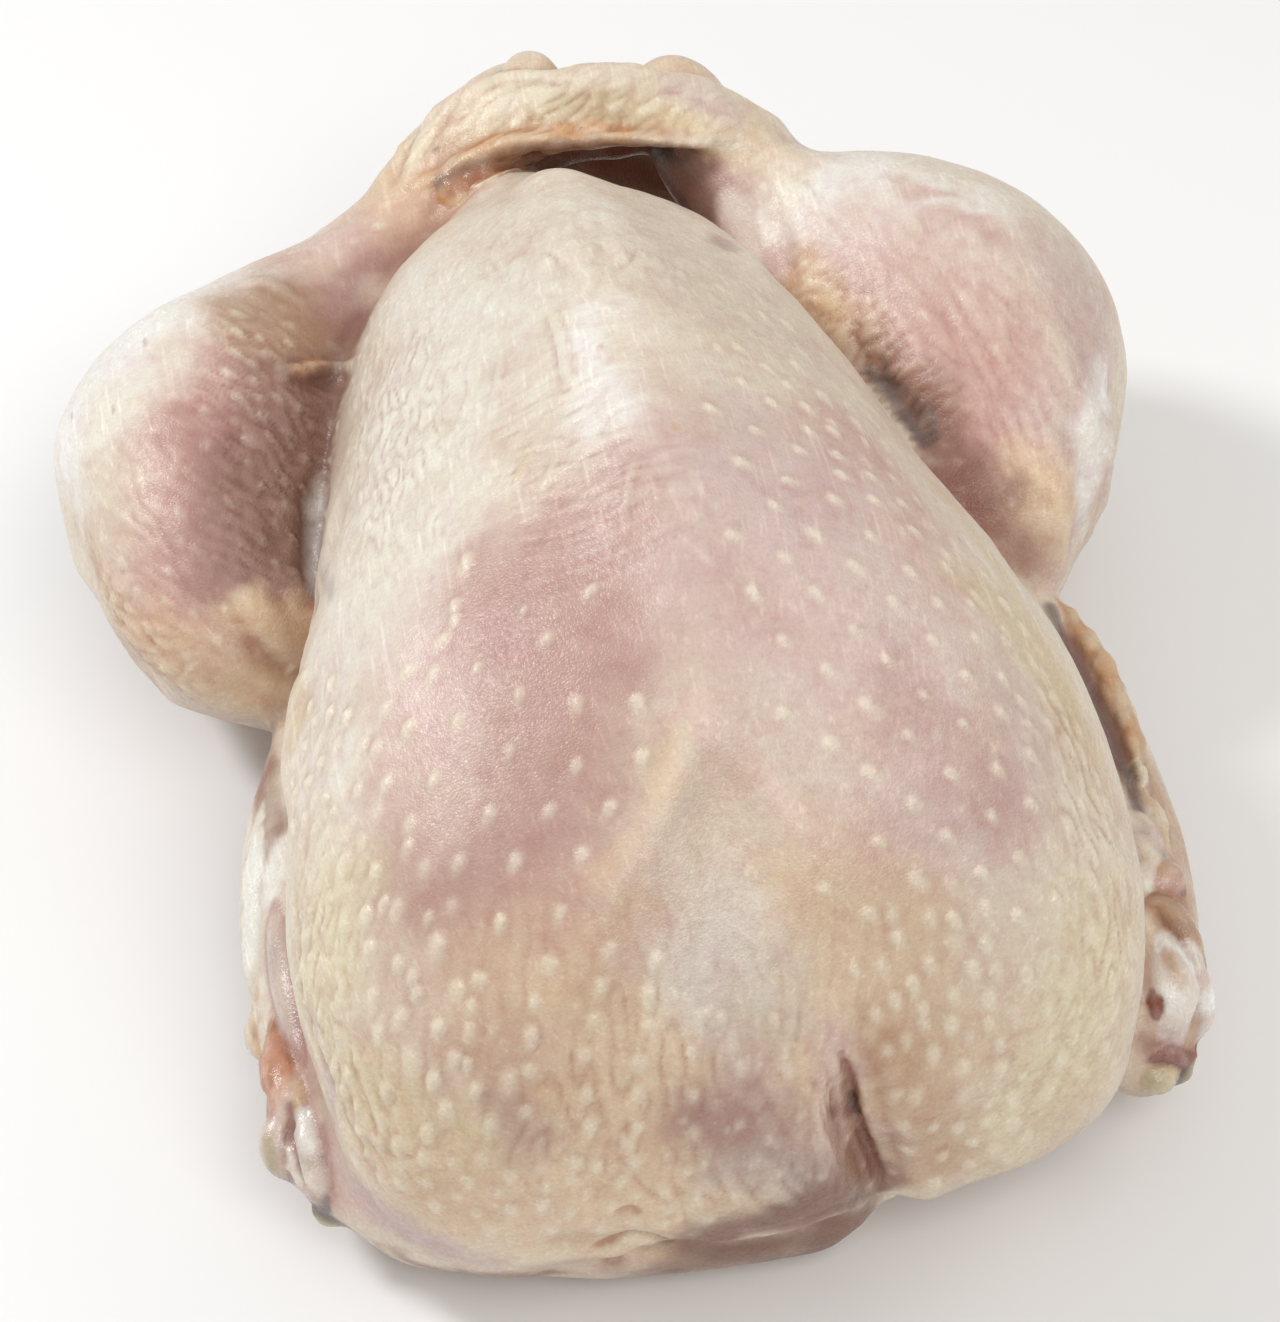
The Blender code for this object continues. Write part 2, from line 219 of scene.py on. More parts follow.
# Rows of single feather follicles: pixels along the row, how many, and the length of a bump in mm
FOLLICLE_ROWS = {
    "left first": ([(470, 560), (440, 640), (396, 690), (370, 760), (348, 830)], 8, 4.6),
    "left second": ([(457, 620), (427, 690), (394, 771), (371, 820), (344, 892)], 6, 4.8),
    "left third": ([(522, 612), (481, 664), (451, 737), (426, 801), (403, 852), (383, 897), (368, 964)], 7, 4.2),
    "left fourth": ([(593, 592), (537, 659), (512, 720), (496, 787), (463, 850), (439, 897), (415, 978)], 8, 4.0),
    "left fifth": ([(573, 702), (576, 767), (536, 830), (506, 892), (480, 975)], 6, 4.2),
    "left sixth": ([(635, 703), (645, 754), (605, 817), (576, 873), (548, 961)], 6, 4.4),
    "right first": ([(784, 713), (831, 745), (884, 782), (931, 816), (970, 857), (1016, 915)], 7, 4.6),
    "right second": ([(749, 593), (785, 640), (834, 681), (888, 719), (935, 757), (975, 792), (1054, 901)], 9,
                     4.4),
    "right third": ([(735, 535), (799, 565), (835, 610), (889, 662), (939, 704), (980, 742), (1060, 845)], 10,
                    4.4),
    "right fourth": ([(774, 505), (843, 555), (900, 610), (942, 654), (983, 695), (1010, 725), (1062, 800)], 9,
                     4.6),
    "right fifth": ([(744, 463), (800, 481), (860, 520), (909, 572), (951, 616), (986, 649), (1030, 720)], 9,
                    4.6),
    "right sixth": ([(711, 409), (750, 427), (789, 445), (836, 470), (900, 526), (954, 575), (1000, 640)], 9,
                    4.4),
    "right seventh": ([(717, 346), (750, 392), (800, 425), (850, 466), (900, 505)], 7, 4.4),
    "right eighth": ([(741, 350), (786, 390), (830, 430)], 5, 4.4),
    "crop right": ([(828, 889), (866, 910), (895, 936), (913, 974), (925, 1020)], 5, 4.4),
    "crop far right": ([(878, 845), (913, 871), (963, 933), (975, 968), (990, 1020)], 5, 4.6),
    "crop chain one": ([(478, 978), (472, 1011), (470, 1060)], 4, 4.4),
    "crop chain two": ([(548, 961), (530, 1010), (528, 1060), (524, 1110)], 5, 4.6),
    "crop chain three": ([(606, 950), (592, 1027), (588, 1092), (592, 1160)], 7, 4.8),
    "crop chain four": ([(658, 960), (646, 1031), (638, 1069), (640, 1124), (636, 1160)], 7, 4.8),
    "crop chain five": ([(700, 1015), (695, 1051), (691, 1116), (687, 1167)], 5, 4.6),
    "crop chain six": ([(719, 1015), (747, 1080), (739, 1124)], 3, 4.2),
    "crop chain seven": ([(770, 1017), (784, 1069)], 2, 3.6),
    "crop chain eight": ([(857, 974), (881, 1029), (893, 1075), (905, 1130)], 5, 4.0),
}

# How many pixels a follicle of a row strays, its share of the row's length, and its height in mm
ROW_STRAY = 4
ROW_SIZE = (0.62, 0.95)
ROW_HEIGHT = (0.5, 0.85)

# Goose skin: where it lies, its reach, how far apart the follicles are, their length and height in mm,
# and two spots that they point along
GOOSE_SKIN = {
    "left flank": ([(322, 740), (312, 900), (330, 1040), (380, 1150)], 24, 5.4, 4.0, 1.5,
                   [(350, 800), (326, 900)]),
    "left side strip": ([(300, 664), (291, 730), (288, 800)], 9, 3.2, 2.6, 0.6, [(296, 700), (290, 780)]),
    "left inner flank": ([(370, 900), (400, 1020), (440, 1110)], 24, 7.0, 4.8, 1.4, [(420, 900), (396, 1000)]),
    "crop floor": ([(430, 1170), (520, 1200), (600, 1190), (680, 1200)], 24, 6.0, 3.6, 0.8,
                   [(540, 1130), (536, 1200)]),
    "crop right floor": ([(720, 1120), (790, 1150), (850, 1190)], 24, 7, 2.8, 0.5, [(740, 1080), (750, 1160)]),
    "right flank": ([(1010, 620), (1076, 760), (1110, 900), (1090, 1060)], 19, 5.6, 4.2, 1.0,
                    [(1030, 700), (1080, 790)]),
    "right inner flank": ([(960, 980), (1000, 1080), (960, 1150)], 28, 6.4, 4.4, 0.9, [(960, 980), (980, 1060)]),
    "right breast upper": ([(690, 262), (780, 330), (860, 430), (930, 530)], 15, 6.6, 4.2, 0.55,
                           [(740, 330), (790, 390)]),
    "left breast upper": ([(372, 320), (360, 430), (366, 540)], 17, 3.8, 2.6, 0.45, [(372, 320), (362, 440)]),
    "breast tip": ([(460, 260), (560, 230), (650, 240)], 20, 6.5, 2.6, 0.2, [(560, 230), (560, 300)]),
    "left inner leg": ([(262, 350), (284, 440), (296, 540)], 22, 5.0, 3.0, 0.9, [(262, 400), (290, 440)]),
    "left lower leg": ([(70, 500), (120, 620), (170, 690)], 14, 4.2, 2.4, 0.6, [(90, 560), (130, 640)]),
    "left calf": ([(140, 430), (160, 540), (210, 620)], 26, 7.5, 2.8, 0.5, [(150, 450), (190, 520)]),
    "left ankle": ([(290, 250), (360, 220)], 18, 6.5, 2.8, 0.5, [(290, 250), (360, 220)]),
    "right tan": ([(796, 290), (850, 340), (900, 410)], 13, 4.2, 2.8, 0.8, [(820, 330), (850, 320)]),
    "right inner calf": ([(900, 420), (960, 470), (1000, 520)], 14, 6.0, 3.0, 0.6, [(900, 420), (960, 430)]),
    "right calf": ([(960, 300), (1010, 400), (1050, 470)], 40, 12, 3.2, 0.4, [(960, 300), (1010, 400)]),
    "right ankle": ([(740, 180), (790, 230)], 20, 7, 2.4, 0.45, [(740, 180), (750, 230)]),
    "strap": ([(540, 110), (600, 104), (700, 106)], 16, 4.4, 3.4, 0.7, [(560, 120), (590, 100)]),
}

# How the crowded follicles vary in size and height, and where a patch of them ends
GOOSE_SIZE = (0.7, 1.2)
GOOSE_RISE = (0.3, 0.9)
GOOSE_EDGE = 0.08

# Elsewhere they are sparse, by spacing, length and height in mm, and left out on the bare breast
SPARSE_FOLLICLES = (12, 2.8, 0.24)
BARE = ([(600, 240), (600, 450), (560, 620), (560, 800), (640, 950), (720, 1050)], 85)
BARE_EDGE = 0.05

# The shape of every follicle: its width to its length, its reach behind and ahead, that of its pale halo,
# and the height in mm from which it is as pale as can be
SLENDERNESS = 0.5
TAIL = (0.55, 1.0)
HALO = 2.2
FULL_HEIGHT = 0.5

# Crumpled and stretched skin: where, reach, two spots along the lines, how far apart and how deep in mm
CREPE = {
    "left breast cords": ([(392, 330), (396, 430), (404, 540)], 32, [(420, 300), (414, 500)], 2.6, 0.4),
    "breast tip": ([(480, 250), (560, 240), (640, 260)], 30, [(560, 220), (575, 300)], 4.2, 0.35),
    "keel side": ([(540, 400), (620, 480)], 30, [(480, 540), (640, 480)], 3.4, 0.3),
    "left inner leg": ([(250, 330), (280, 430), (290, 560)], 28, [(220, 400), (300, 470)], 2.4, 0.5),
    "left leg": ([(150, 420), (180, 520), (220, 640)], 40, [(120, 420), (230, 520)], 3.2, 0.22),
    "left knee": ([(90, 560), (130, 640), (180, 690)], 24, [(80, 560), (150, 660)], 3.0, 0.4),
    "right tan": ([(800, 280), (860, 350), (930, 430)], 20, [(830, 330), (880, 300)], 2.6, 0.6),
    "right leg": ([(860, 220), (980, 330), (1060, 450)], 46, [(960, 300), (1060, 460)], 4.4, 0.25),
    "strap": ([(410, 150), (480, 120), (560, 105), (650, 105), (740, 130)], 22, [(560, 120), (600, 92)], 3.4,
              0.4),
    "neck": ([(780, 1080), (820, 1120), (850, 1160)], 22, [(806, 1040), (840, 1170)], 4.0, 0.25),
    "bulge": ([(660, 1200), (760, 1200), (840, 1190)], 26, [(700, 1180), (740, 1230)], 4.6, 0.35),
    "crop": ([(520, 1060), (640, 1100), (760, 1040)], 60, [(640, 980), (630, 1150)], 4.0, 0.25),
    "left flank": ([(320, 880), (330, 1040), (400, 1160)], 30, [(350, 860), (320, 1000)], 3.2, 0.36),
    "right flank": ([(1040, 700), (1110, 900), (1060, 1080)], 30, [(1040, 720), (1090, 820)], 3.2, 0.3),
    "right wing": ([(1050, 610), (1110, 730), (1160, 860)], 14, [(1060, 620), (1140, 800)], 3.4, 0.4),
}

# How its lines are drawn: stretched along and into the skin, wandering by mm over lumps of a size and three
# noises, with sharp folds that are deeper than the rises between them are high
CREPE_STRETCH = 3.5
CREPE_THICKNESS = 2
CREPE_WANDER = (11, (3, 13, 23), 2.2)
CREPE_EDGE = 0.02
FOLD_SHARPNESS = 3.2
FOLD_RISE = 1.6
FOLD_DEPTH = 0.75

# How the grown forms are drawn: sides and rings, how far ahead their way is read, how blunt they end, how
# thick the core is in mm that no lump reaches, what the fine lumps add (height, fineness, noise), how the two
# tones mix (strength, size, noise), where the tone of the end comes in, how dark the painted shade in the hollows
# between lumps is, and how far in mm and how firmly a form tints the skin
STRAND_SIDES = 28
STRAND_RINGS = 64
STRAND_AHEAD = 0.02
STRAND_BLUNTNESS = 0.45
STRAND_CORE = 1.5
STRAND_FINE_LUMPS = (0.4, 2.6, 9)
STRAND_MIX = (1.3, 1.3, 5)
STRAND_END = (0.72, 0.2)
STRAND_SHADE = (0.35, 0.9)
STRAND_EDGE = 1.3
STRAND_FIRMNESS = 1.6

# Forms that the skin grows over: spots, half widths and heights in mm, how far they stand out, the size and
# height of their lumps in mm, their three tones (the last is that of the far end) and how wet they are.
# Spots of six numbers stand free of the form: a place in mm and the way that is up there.
STRANDS = {
    "strap lip": ([(396, 190), (430, 180), (470, 160), (512, 142), (560, 136), (620, 136), (680, 142),
                   (752, 146)], [(2, 2), (3.2, 2.8), (3.6, 3.2), (3.4, 3), (3.6, 3.2), (3.4, 3.2), (3.2, 2.8),
                                 (1.6, 1.6)], -0.8, (5, 1.1), ("peach", "orange", "cream"), 0.3),
    # Painted shade under the strap: the lip's lower half, and a dark form hung beneath the strap
    "strap lip underside": ([(448, 190), (484, 172), (520, 158), (562, 152), (620, 151), (684, 153)],
                            [(1.4, 1.4), (2.0, 2.0), (2.4, 2.4), (2.6, 2.6), (2.4, 2.4), (1.6, 1.6)],
                            -0.4, (5, 0.8), ("brown", "tan", "brown"), 0.5),
    "shaded strap underside": ([(-34, 142, 107, 0, 0, 1), (-14, 146, 104, 0, 0, 1), (8, 147, 103, 0, 0, 1),
                         (26, 146, 103, 0, 0, 1), (44, 141, 105, 0, 0, 1)],
                        [(4, 7), (5, 8.5), (5, 9), (5, 8.5), (4, 7)], 0, (9, 0.9), ("brown", "red brown", "dark"),
                        0.6),
    "left hock": ([(-12, 161, 112, 0, 0, 1), (-4, 163, 114, 0, 0, 1), (6, 161, 113, 0, 0, 1)],
                  [(4, 4), (6.5, 7), (4, 5)], 0, (7, 0.5), ("peach", "cream", "tan"), 0.4),
    "vent skin": ([(58, 143, 60, 0, 0, 1), (49, 156, 65, 0, 0, 1), (35, 165, 69, 0, 0, 1), (19, 168, 69, 0, 0, 1),
                   (5, 167, 67, 0, 0, 1), (-11, 163, 57, 0, 0, 1), (-27, 156, 47, 0, 0, 1)],
                  [(5, 11), (5, 15), (4.8, 16), (4.8, 16), (4.8, 16), (5, 12), (5, 8)],
                  0, (13, 1.2), ("cream", "peach", "sand"), 0.3),
    "flesh by the ankle": ([(440, 202), (452, 192), (472, 184)], [(3, 3), (4.6, 4), (3, 2.6)], -0.4, (4, 0.8),
                           ("peach", "orange", "tan"), 0.8),
    "right wing roll": ([(1056, 600), (1082, 636), (1108, 686), (1130, 738), (1141, 784)],
                        [(2.2, 2), (3.2, 3.2), (3.6, 3.6), (3.6, 3.4), (2.4, 2.4)], 0.6, (4.4, 1.4),
                        ("peach", "orange", "tan"), 0.3),
    "right wing knot": ([(1128, 762), (1135, 774), (1140, 786)], [(2, 2), (3, 2.8), (2, 2)], 1.0, (3, 0.8),
                        ("butter", "cream", "cream"), 0.6),
    "right wing web": ([(1136, 798), (1144, 830), (1152, 862), (1148, 890)],
                       [(3, 1.4), (4.6, 2), (4.6, 2), (3, 1.4)], 0.2, (4, 1.0), ("lilac", "cream", "ivory"), 0.6),
    "right wing web fold": ([(1142, 792), (1158, 822), (1166, 852)], [(1.4, 1.6), (2, 2.2), (1.4, 1.6)], 0.8,
                            (4, 0.6), ("peach", "cream", "peach"), 0.3),
    "right wing lump": ([(1156, 886), (1170, 880), (1186, 892)], [(3, 2.4), (4.6, 3.6), (3.4, 3)], 0.2, (4, 0.9),
                        ("pink", "tan", "brown"), 0.9),
    "right wing meat": ([(1146, 902), (1166, 906), (1184, 928), (1200, 962), (1205, 1000)],
                        [(2.4, 2), (3.6, 3), (4, 3.2), (3.2, 2.6), (1.8, 1.6)], 0, (5, 0.6),
                        ("tan", "brown", "brown"), 0.7),
    # White sheen on the cartilage and its ridges is a painted highlight over the bone tone
    "right wing cartilage": ([(1164, 932), (1171, 962), (1173, 1002), (1174, 1050)],
                             [(3.6, 3), (5.2, 4.6), (6.6, 5.2), (6.4, 4)], -0.6, (7, 0.9),
                             ("white sheen", "bone", "lilac"), 1.0),
    "right wing ridge": ([(1184, 938), (1195, 974), (1201, 1016), (1200, 1048)],
                         [(2.2, 2.8), (2.8, 4.2), (2.8, 4.2), (2.4, 3)], 0.2, (6, 0.5),
                         ("white sheen", "rose", "bone"), 1.0),
    "right wing cross ridge": ([(1164, 952), (1174, 970), (1186, 994)], [(1.6, 2), (2, 2.4), (1.6, 2)], 2.6,
                               (6, 0.3), ("bone", "lilac", "bone"), 1.0),
    "right wing red spot": ([(1154, 990), (1156, 1003), (1155, 1018)], [(1.2, 1.2), (1.8, 1.8), (1.2, 1.2)], 1.0,
                            (3, 0.4), ("plum", "red brown", "plum"), 0.9),
    "right wing red edge": ([(1150, 1060), (1168, 1054), (1188, 1058), (1206, 1046)],
                            [(1.4, 1.4), (1.8, 1.8), (1.8, 1.8), (1.4, 1.4)], 0.8, (3, 0.5),
                            ("plum", "red brown", "red brown"), 0.9),
    "right wing fat": ([(1146, 1074), (1160, 1082), (1176, 1080)], [(3, 3), (4.4, 3.8), (3.4, 3)], -0.6, (6, 0.6),
                       ("straw", "fat grey", "cream"), 1.0),
    "right wing fat edge": ([(1172, 1092), (1190, 1076), (1202, 1056)], [(2.4, 2.4), (3.4, 3.2), (2.2, 2)], 0,
                            (5, 0.5), ("fat grey", "slate", "fat grey"), 1.0),
    "left wing flap": ([(264, 800), (254, 850), (249, 900), (247, 950), (252, 986), (258, 1002)],
                       [(3, 2), (4.6, 2.6), (5, 3), (5.4, 3), (4.6, 2.6), (2.6, 1.6)], -1.2, (4, 0.8),
                       ("ivory", "cream", "peach"), 0.2),
    "left wing band": ([(276, 900), (277, 930), (283, 964), (289, 1000), (294, 1034), (304, 1066)],
                       [(2.4, 2.4), (4.2, 3.6), (5, 4), (5, 4), (4.4, 3.6), (3, 2.6)], -0.6, (14, 0.3),
                       ("lilac", "rose", "pink"), 0.6),
    "left wing sheath": ([(260, 1012), (254, 1036), (260, 1060)], [(3.6, 2.8), (5.2, 4), (3.8, 3)], -0.2,
                         (2.6, 0.6), ("peach", "cream", "orange"), 0.7),
    "left wing meat": ([(270, 1022), (274, 1054), (277, 1086), (272, 1112)],
                       [(3.4, 2.6), (5.2, 4), (5.2, 4), (3.4, 2.4)], -0.4, (3.4, 1.0), ("raw", "rust", "raw"),
                       0.9),
    "left wing tissue": ([(298, 1074), (290, 1096), (296, 1130)], [(2.6, 2), (4, 3.2), (3, 2.4)], 0, (3.4, 0.6),
                         ("peach", "rose", "peach"), 0.5),
    # The condyles end in slate and lie on a slate underside: painted shade beneath them
    "left wing condyle one": ([(278, 1106), (275, 1132), (278, 1160), (288, 1190)],
                              [(2.8, 3.2), (3.8, 4.6), (3.8, 4.6), (3.0, 3.6)], -0.8, (9, 0.2),
                              ("rose", "lilac", "slate"), 1.0),
    "left wing condyle two": ([(304, 1106), (307, 1144), (313, 1180), (328, 1214)],
                              [(3.0, 3.2), (4.6, 4.6), (5.4, 5.0), (4.2, 3.8)], -0.8, (8, 0.3),
                              ("bone", "lilac", "slate"), 1.0),
    "left wing condyle underside": ([(304, 1206), (322, 1226), (346, 1236)], [(2.6, 2.6), (3.6, 3.4), (2.6, 2.4)],
                                    -0.4, (6, 0.4), ("slate", "fat grey", "slate"), 1.0),
}

# Skin tones, in the photograph's own red, green and blue
TONES = {
    # The white sheen tone is that of painted highlights and sheen, the dark tone that of painted shade in pits,
    # recesses and under the strap
    "white sheen": (246, 246, 240),
    "ivory": (236, 232, 218),
    "cream": (228, 216, 196),
    "fat": (241, 231, 208),
    "butter": (228, 215, 178),
    "straw": (214, 194, 158),
    "beige": (216, 200, 180),
    "sand": (226, 200, 166),
    "pale grey": (216, 208, 198),
    "peach": (214, 184, 152),
    "orange": (208, 158, 112),
    "tan": (196, 160, 128),
    "rust": (166, 112, 80),
    "raw": (206, 150, 122),
    "rose": (216, 188, 178),
    "pink": (204, 164, 154),
    "mauve": (188, 152, 142),
    "plum": (164, 122, 118),
    "lilac": (210, 188, 182),
    "blue grey": (196, 188, 180),
    "bone": (234, 222, 212),
    "fat grey": (176, 166, 130),
    "blood": (128, 44, 34),
    "slate": (112, 96, 94),
    "brown": (150, 108, 90),
    "umber": (134, 98, 82),
    "red brown": (138, 76, 56),
    "dark": (50, 18, 12),
}

# The tint of the skin, painted highlights and painted shade among it, laid on in this order: its tone, where,
# reach in mm and strength
TINTS = {
    # Pale skin of the left breast, lightened to a painted highlight
    "breast left": ("ivory", [(470, 280), (420, 420), (400, 560), (380, 660)], 50, 1.0),
    "left edge": ("ivory", [(330, 640), (320, 760)], 20, 0.8),
    "breast tip": ("cream", [(500, 230), (600, 220), (660, 250)], 30, 0.8),
    "breast tip light": ("ivory", [(600, 216), (650, 232), (700, 270)], 20, 0.6),
    "keel light": ("white sheen", [(600, 330), (616, 380), (628, 420)], 18, 0.95),
    "right upper": ("beige", [(700, 260), (790, 360), (900, 480)], 26, 0.9),
    "right upper lilac": ("lilac", [(700, 400), (760, 450), (860, 520)], 26, 0.6),
    "right upper pink": ("pink", [(850, 430), (900, 500), (940, 570)], 18, 0.6),
    "keel right": ("cream", [(660, 320), (690, 400)], 18, 0.8),
    "keel side stripes": ("pink", [(500, 560), (600, 500), (670, 456)], 15, 0.45),
    "left of the middle": ("mauve", [(580, 640), (560, 740), (510, 870), (450, 980)], 50, 1.0),
    "left upper middle": ("rose", [(560, 570), (600, 600)], 34, 0.55),
    "middle": ("pink", [(560, 590), (640, 560), (686, 560)], 24, 0.5),
    "left upper mauve": ("mauve", [(540, 620), (560, 644), (580, 670)], 34, 1.0),
    "left outer breast": ("rose", [(420, 640), (390, 780)], 24, 0.7),
    "between the arms": ("beige", [(700, 620), (692, 700)], 16, 0.6),
    "right of the keel": ("lilac", [(750, 500), (800, 570), (880, 680), (960, 780)], 46, 1.0),
    "right middle": ("rose", [(780, 600), (850, 690), (940, 760)], 22, 0.45),
    "right plum": ("mauve", [(900, 690), (960, 750), (1010, 830)], 14, 0.5),
    "right outer": ("straw", [(990, 600), (1060, 700), (1120, 830)], 15, 0.8),
    "right flank": ("cream", [(1110, 880), (1080, 1020), (980, 1120)], 36, 0.95),
    "right flank fat": ("butter", [(1100, 960), (1060, 1080), (1000, 1140)], 26, 0.75),
    "wishbone middle": ("beige", [(706, 800), (720, 880)], 32, 0.9),
    "left wishbone arm": ("sand", [(694, 730), (664, 810), (606, 900), (560, 980)], 7, 0.6),
    "right wishbone arm": ("rose", [(710, 712), (744, 760), (790, 806), (860, 870)], 7, 0.7),
    "crop right": ("peach", [(820, 900), (900, 960), (960, 1050)], 28, 0.75),
    "crop middle": ("sand", [(540, 1060), (640, 1120), (760, 1080)], 50, 0.8),
    "crop mauve": ("mauve", [(520, 1060), (600, 1110), (690, 1090)], 18, 0.4),
    "grey patch": ("pale grey", [(716, 940), (728, 1000)], 20, 0.85),
    "under the grey patch": ("lilac", [(740, 1060), (745, 1110)], 13, 0.6),
    "left flank": ("ivory", [(316, 780), (316, 900), (326, 1000)], 22, 0.9),
    "left flank fat": ("butter", [(322, 900), (326, 1030), (370, 1110), (430, 1160)], 26, 0.8),
    "left inner flank": ("cream", [(400, 960), (440, 1080)], 16, 0.5),
    "left low flank": ("straw", [(390, 1110), (460, 1160)], 18, 0.7),
    "crop floor": ("sand", [(430, 1200), (560, 1210), (660, 1200), (620, 1120)], 34, 0.8),
    "crop red": ("plum", [(510, 1106), (526, 1150)], 11, 0.5),
    "bulge": ("plum", [(720, 1120), (770, 1150), (820, 1170)], 20, 0.75),
    "bulge grey": ("blue grey", [(740, 1166), (800, 1180)], 12, 0.5),
    # Painted shade on the right side of the bulge, under it, along its rim and on its underside
    "bulge side": ("umber", [(800, 1204), (836, 1186), (862, 1192)], 13, 0.9),
    "bulge side by the crease": ("brown", [(838, 1110), (850, 1144), (866, 1176)], 6, 0.8),
    "under the bulge": ("umber", [(690, 1240), (760, 1220), (830, 1206)], 12, 0.9),
    "under the bulge red": ("red brown", [(700, 1240), (760, 1228), (830, 1220)], 8, 0.7),
    "bulge rim": ("umber", [(720, 1250), (800, 1244), (860, 1220)], 9, 0.9),
    "bulge underside": ("umber", [(-20, -163, 18), (0, -163, 20), (20, -163, 22)], 16, 0.9),
    "right of the slit": ("tan", [(880, 1060), (910, 1120), (930, 1160)], 20, 0.95),
    "slit flesh": ("rose", [(822, 1030), (834, 1080), (846, 1130)], 9, 0.8),
    # Red flesh along the slit, with painted shade in its pit and in the shaded fold below
    "slit flesh red": ("red brown", [(849, 1072), (856, 1110), (866, 1140), (878, 1176)], 4, 0.3),
    "slit pit": ("red brown", [(856, 1108), (860, 1122)], 4, 0.4),
    "slit low": ("brown", [(866, 1140), (878, 1184)], 7, 0.85),
    "lower left edge": ("lilac", [(318, 1040), (340, 1150), (372, 1220), (430, 1250)], 8, 0.9),
    "lower left lilac": ("lilac", [(352, 1190), (400, 1226), (460, 1258)], 10, 0.8),
    "under the crop": ("brown", [(380, 1254), (460, 1272), (560, 1276)], 6, 0.8),
    "neck nub": ("peach", [(596, 1250), (660, 1254)], 9, 0.8),
    "neck nub pink": ("rose", [(620, 1254), (646, 1258)], 4, 0.7),
    "neck fold": ("red brown", [(596, 1247), (612, 1239), (632, 1234), (652, 1237), (672, 1244)], 2.0, 0.9),
    "left leg pink": ("pink", [(220, 380), (200, 480), (190, 580)], 32, 0.95),
    "left leg mauve": ("mauve", [(224, 410), (210, 500), (216, 560)], 24, 0.6),
    "left leg sheen": ("white sheen", [(66, 440), (96, 378), (140, 330), (196, 296)], 24, 1.0),
    "left leg sheen edge": ("ivory", [(110, 420), (150, 370)], 15, 0.8),
    "left leg plum": ("plum", [(240, 440), (240, 540), (270, 600)], 22, 0.7),
    # Painted shade on the inner side of the left leg, in the pocket beside the breast
    "left leg inner": ("umber", [(306, 320), (306, 430), (292, 540)], 28, 1.0),
    "left leg tan": ("tan", [(230, 300), (290, 330), (310, 300)], 18, 0.5),
    "left leg knee": ("peach", [(96, 560), (120, 620), (150, 660)], 16, 0.7),
    "left leg low": ("pink", [(150, 610), (190, 640), (226, 670)], 16, 0.6),
    "left ankle": ("rose", [(300, 260), (370, 220), (430, 200)], 20, 0.75),
    "left ankle pink": ("pink", [(360, 250), (400, 215), (440, 200)], 12, 0.8),
    "left ankle shade": ("plum", [(330, 310), (370, 262), (420, 226)], 12, 0.8),
    "left ankle light": ("white sheen", [(296, 238), (330, 222)], 7, 0.6),
    # Bluish membrane of the left recess, darkened with painted shade
    "left recess": ("slate", [(306, 500), (302, 560), (304, 606)], 4.4, 0.4),
    "left recess light": ("blue grey", [(322, 480), (324, 560), (326, 600)], 5, 0.8),
    "left recess shade": ("brown", [(298, 540), (298, 600)], 8, 0.3),
    "left web": ("sand", [(250, 604), (276, 626), (304, 640)], 9, 1.0),
    # Painted shade under the fold of the web
    "under the left web": ("red brown", [(270, 664), (300, 678)], 5, 0.5),
    "left knee": ("peach", [(150, 650), (200, 664), (260, 700)], 20, 0.85),
    "left lower leg": ("tan", [(84, 540), (110, 600), (150, 680)], 9, 0.5),
    "left side strip": ("straw", [(300, 680), (292, 730)], 6, 0.8),
    "shin fold": ("orange", [(290, 374), (322, 370), (352, 366)], 3.4, 0.7),
    # Painted highlight on the top of the right leg
    "right leg top": ("white sheen", [(790, 170), (860, 190), (940, 220)], 30, 0.95),
    "right leg upper patch": ("pink", [(866, 190), (900, 182), (964, 198)], 5.5, 0.75),
    "right leg middle patch": ("pink", [(936, 220), (980, 222), (1006, 240)], 6.5, 0.75),
    "right calf": ("rose", [(900, 290), (1000, 350), (1030, 460)], 40, 0.9),
    "right calf pink": ("pink", [(950, 350), (990, 420), (1000, 490)], 26, 0.8),
    "right calf shade": ("mauve", [(930, 390), (960, 450)], 15, 0.6),
    "right leg outer": ("lilac", [(1060, 260), (1100, 350), (1090, 420)], 26, 0.8),
    "right leg low": ("sand", [(1036, 480), (1044, 540)], 15, 0.95),
    # Painted highlight along the rim of the right leg
    "right rim": ("white sheen", [(1108, 380), (1100, 450), (1086, 520)], 9, 0.95),
    "right ridge": ("cream", [(1020, 270), (1056, 350), (1076, 420)], 5, 0.5),
    "right tan": ("sand", [(796, 270), (830, 310), (860, 340)], 12, 0.9),
    "right tan edge": ("orange", [(796, 284), (812, 312)], 5, 0.5),
    "right inner shade": ("brown", [(866, 350), (912, 400), (958, 450), (1006, 510)], 12, 0.9),
    # Painted shade in the recess between the right leg and the breast, over its bluish membrane
    "right recess grey": ("slate", [(874, 368), (886, 388)], 5, 0.8),
    "right recess": ("dark", [(899, 406), (909, 422)], 4.4, 0.6),
    "right recess low": ("slate", [(914, 432), (927, 450)], 4.4, 0.8),
    "right inner red": ("red brown", [(950, 480), (990, 526), (1016, 556)], 7, 0.7),
    "right knee": ("rose", [(1030, 560), (1050, 572)], 10, 0.7),
    "right ankle": ("lilac", [(726, 180), (746, 230), (776, 270)], 12, 0.9),
    "right ankle side": ("plum", [(700, 176), (706, 214), (728, 250)], 5, 0.6),
    "right ankle light": ("white sheen", [(744, 200), (756, 236)], 5, 0.6),
    "strap": ("sand", [(400, 180), (440, 120), (540, 90), (660, 90), (760, 130)], 26, 0.75),
    "strap fat": ("butter", [(430, 130), (520, 96), (640, 92), (700, 110)], 16, 0.7),
    "strap shade": ("straw", [(470, 130), (560, 112), (650, 112)], 13, 0.8),
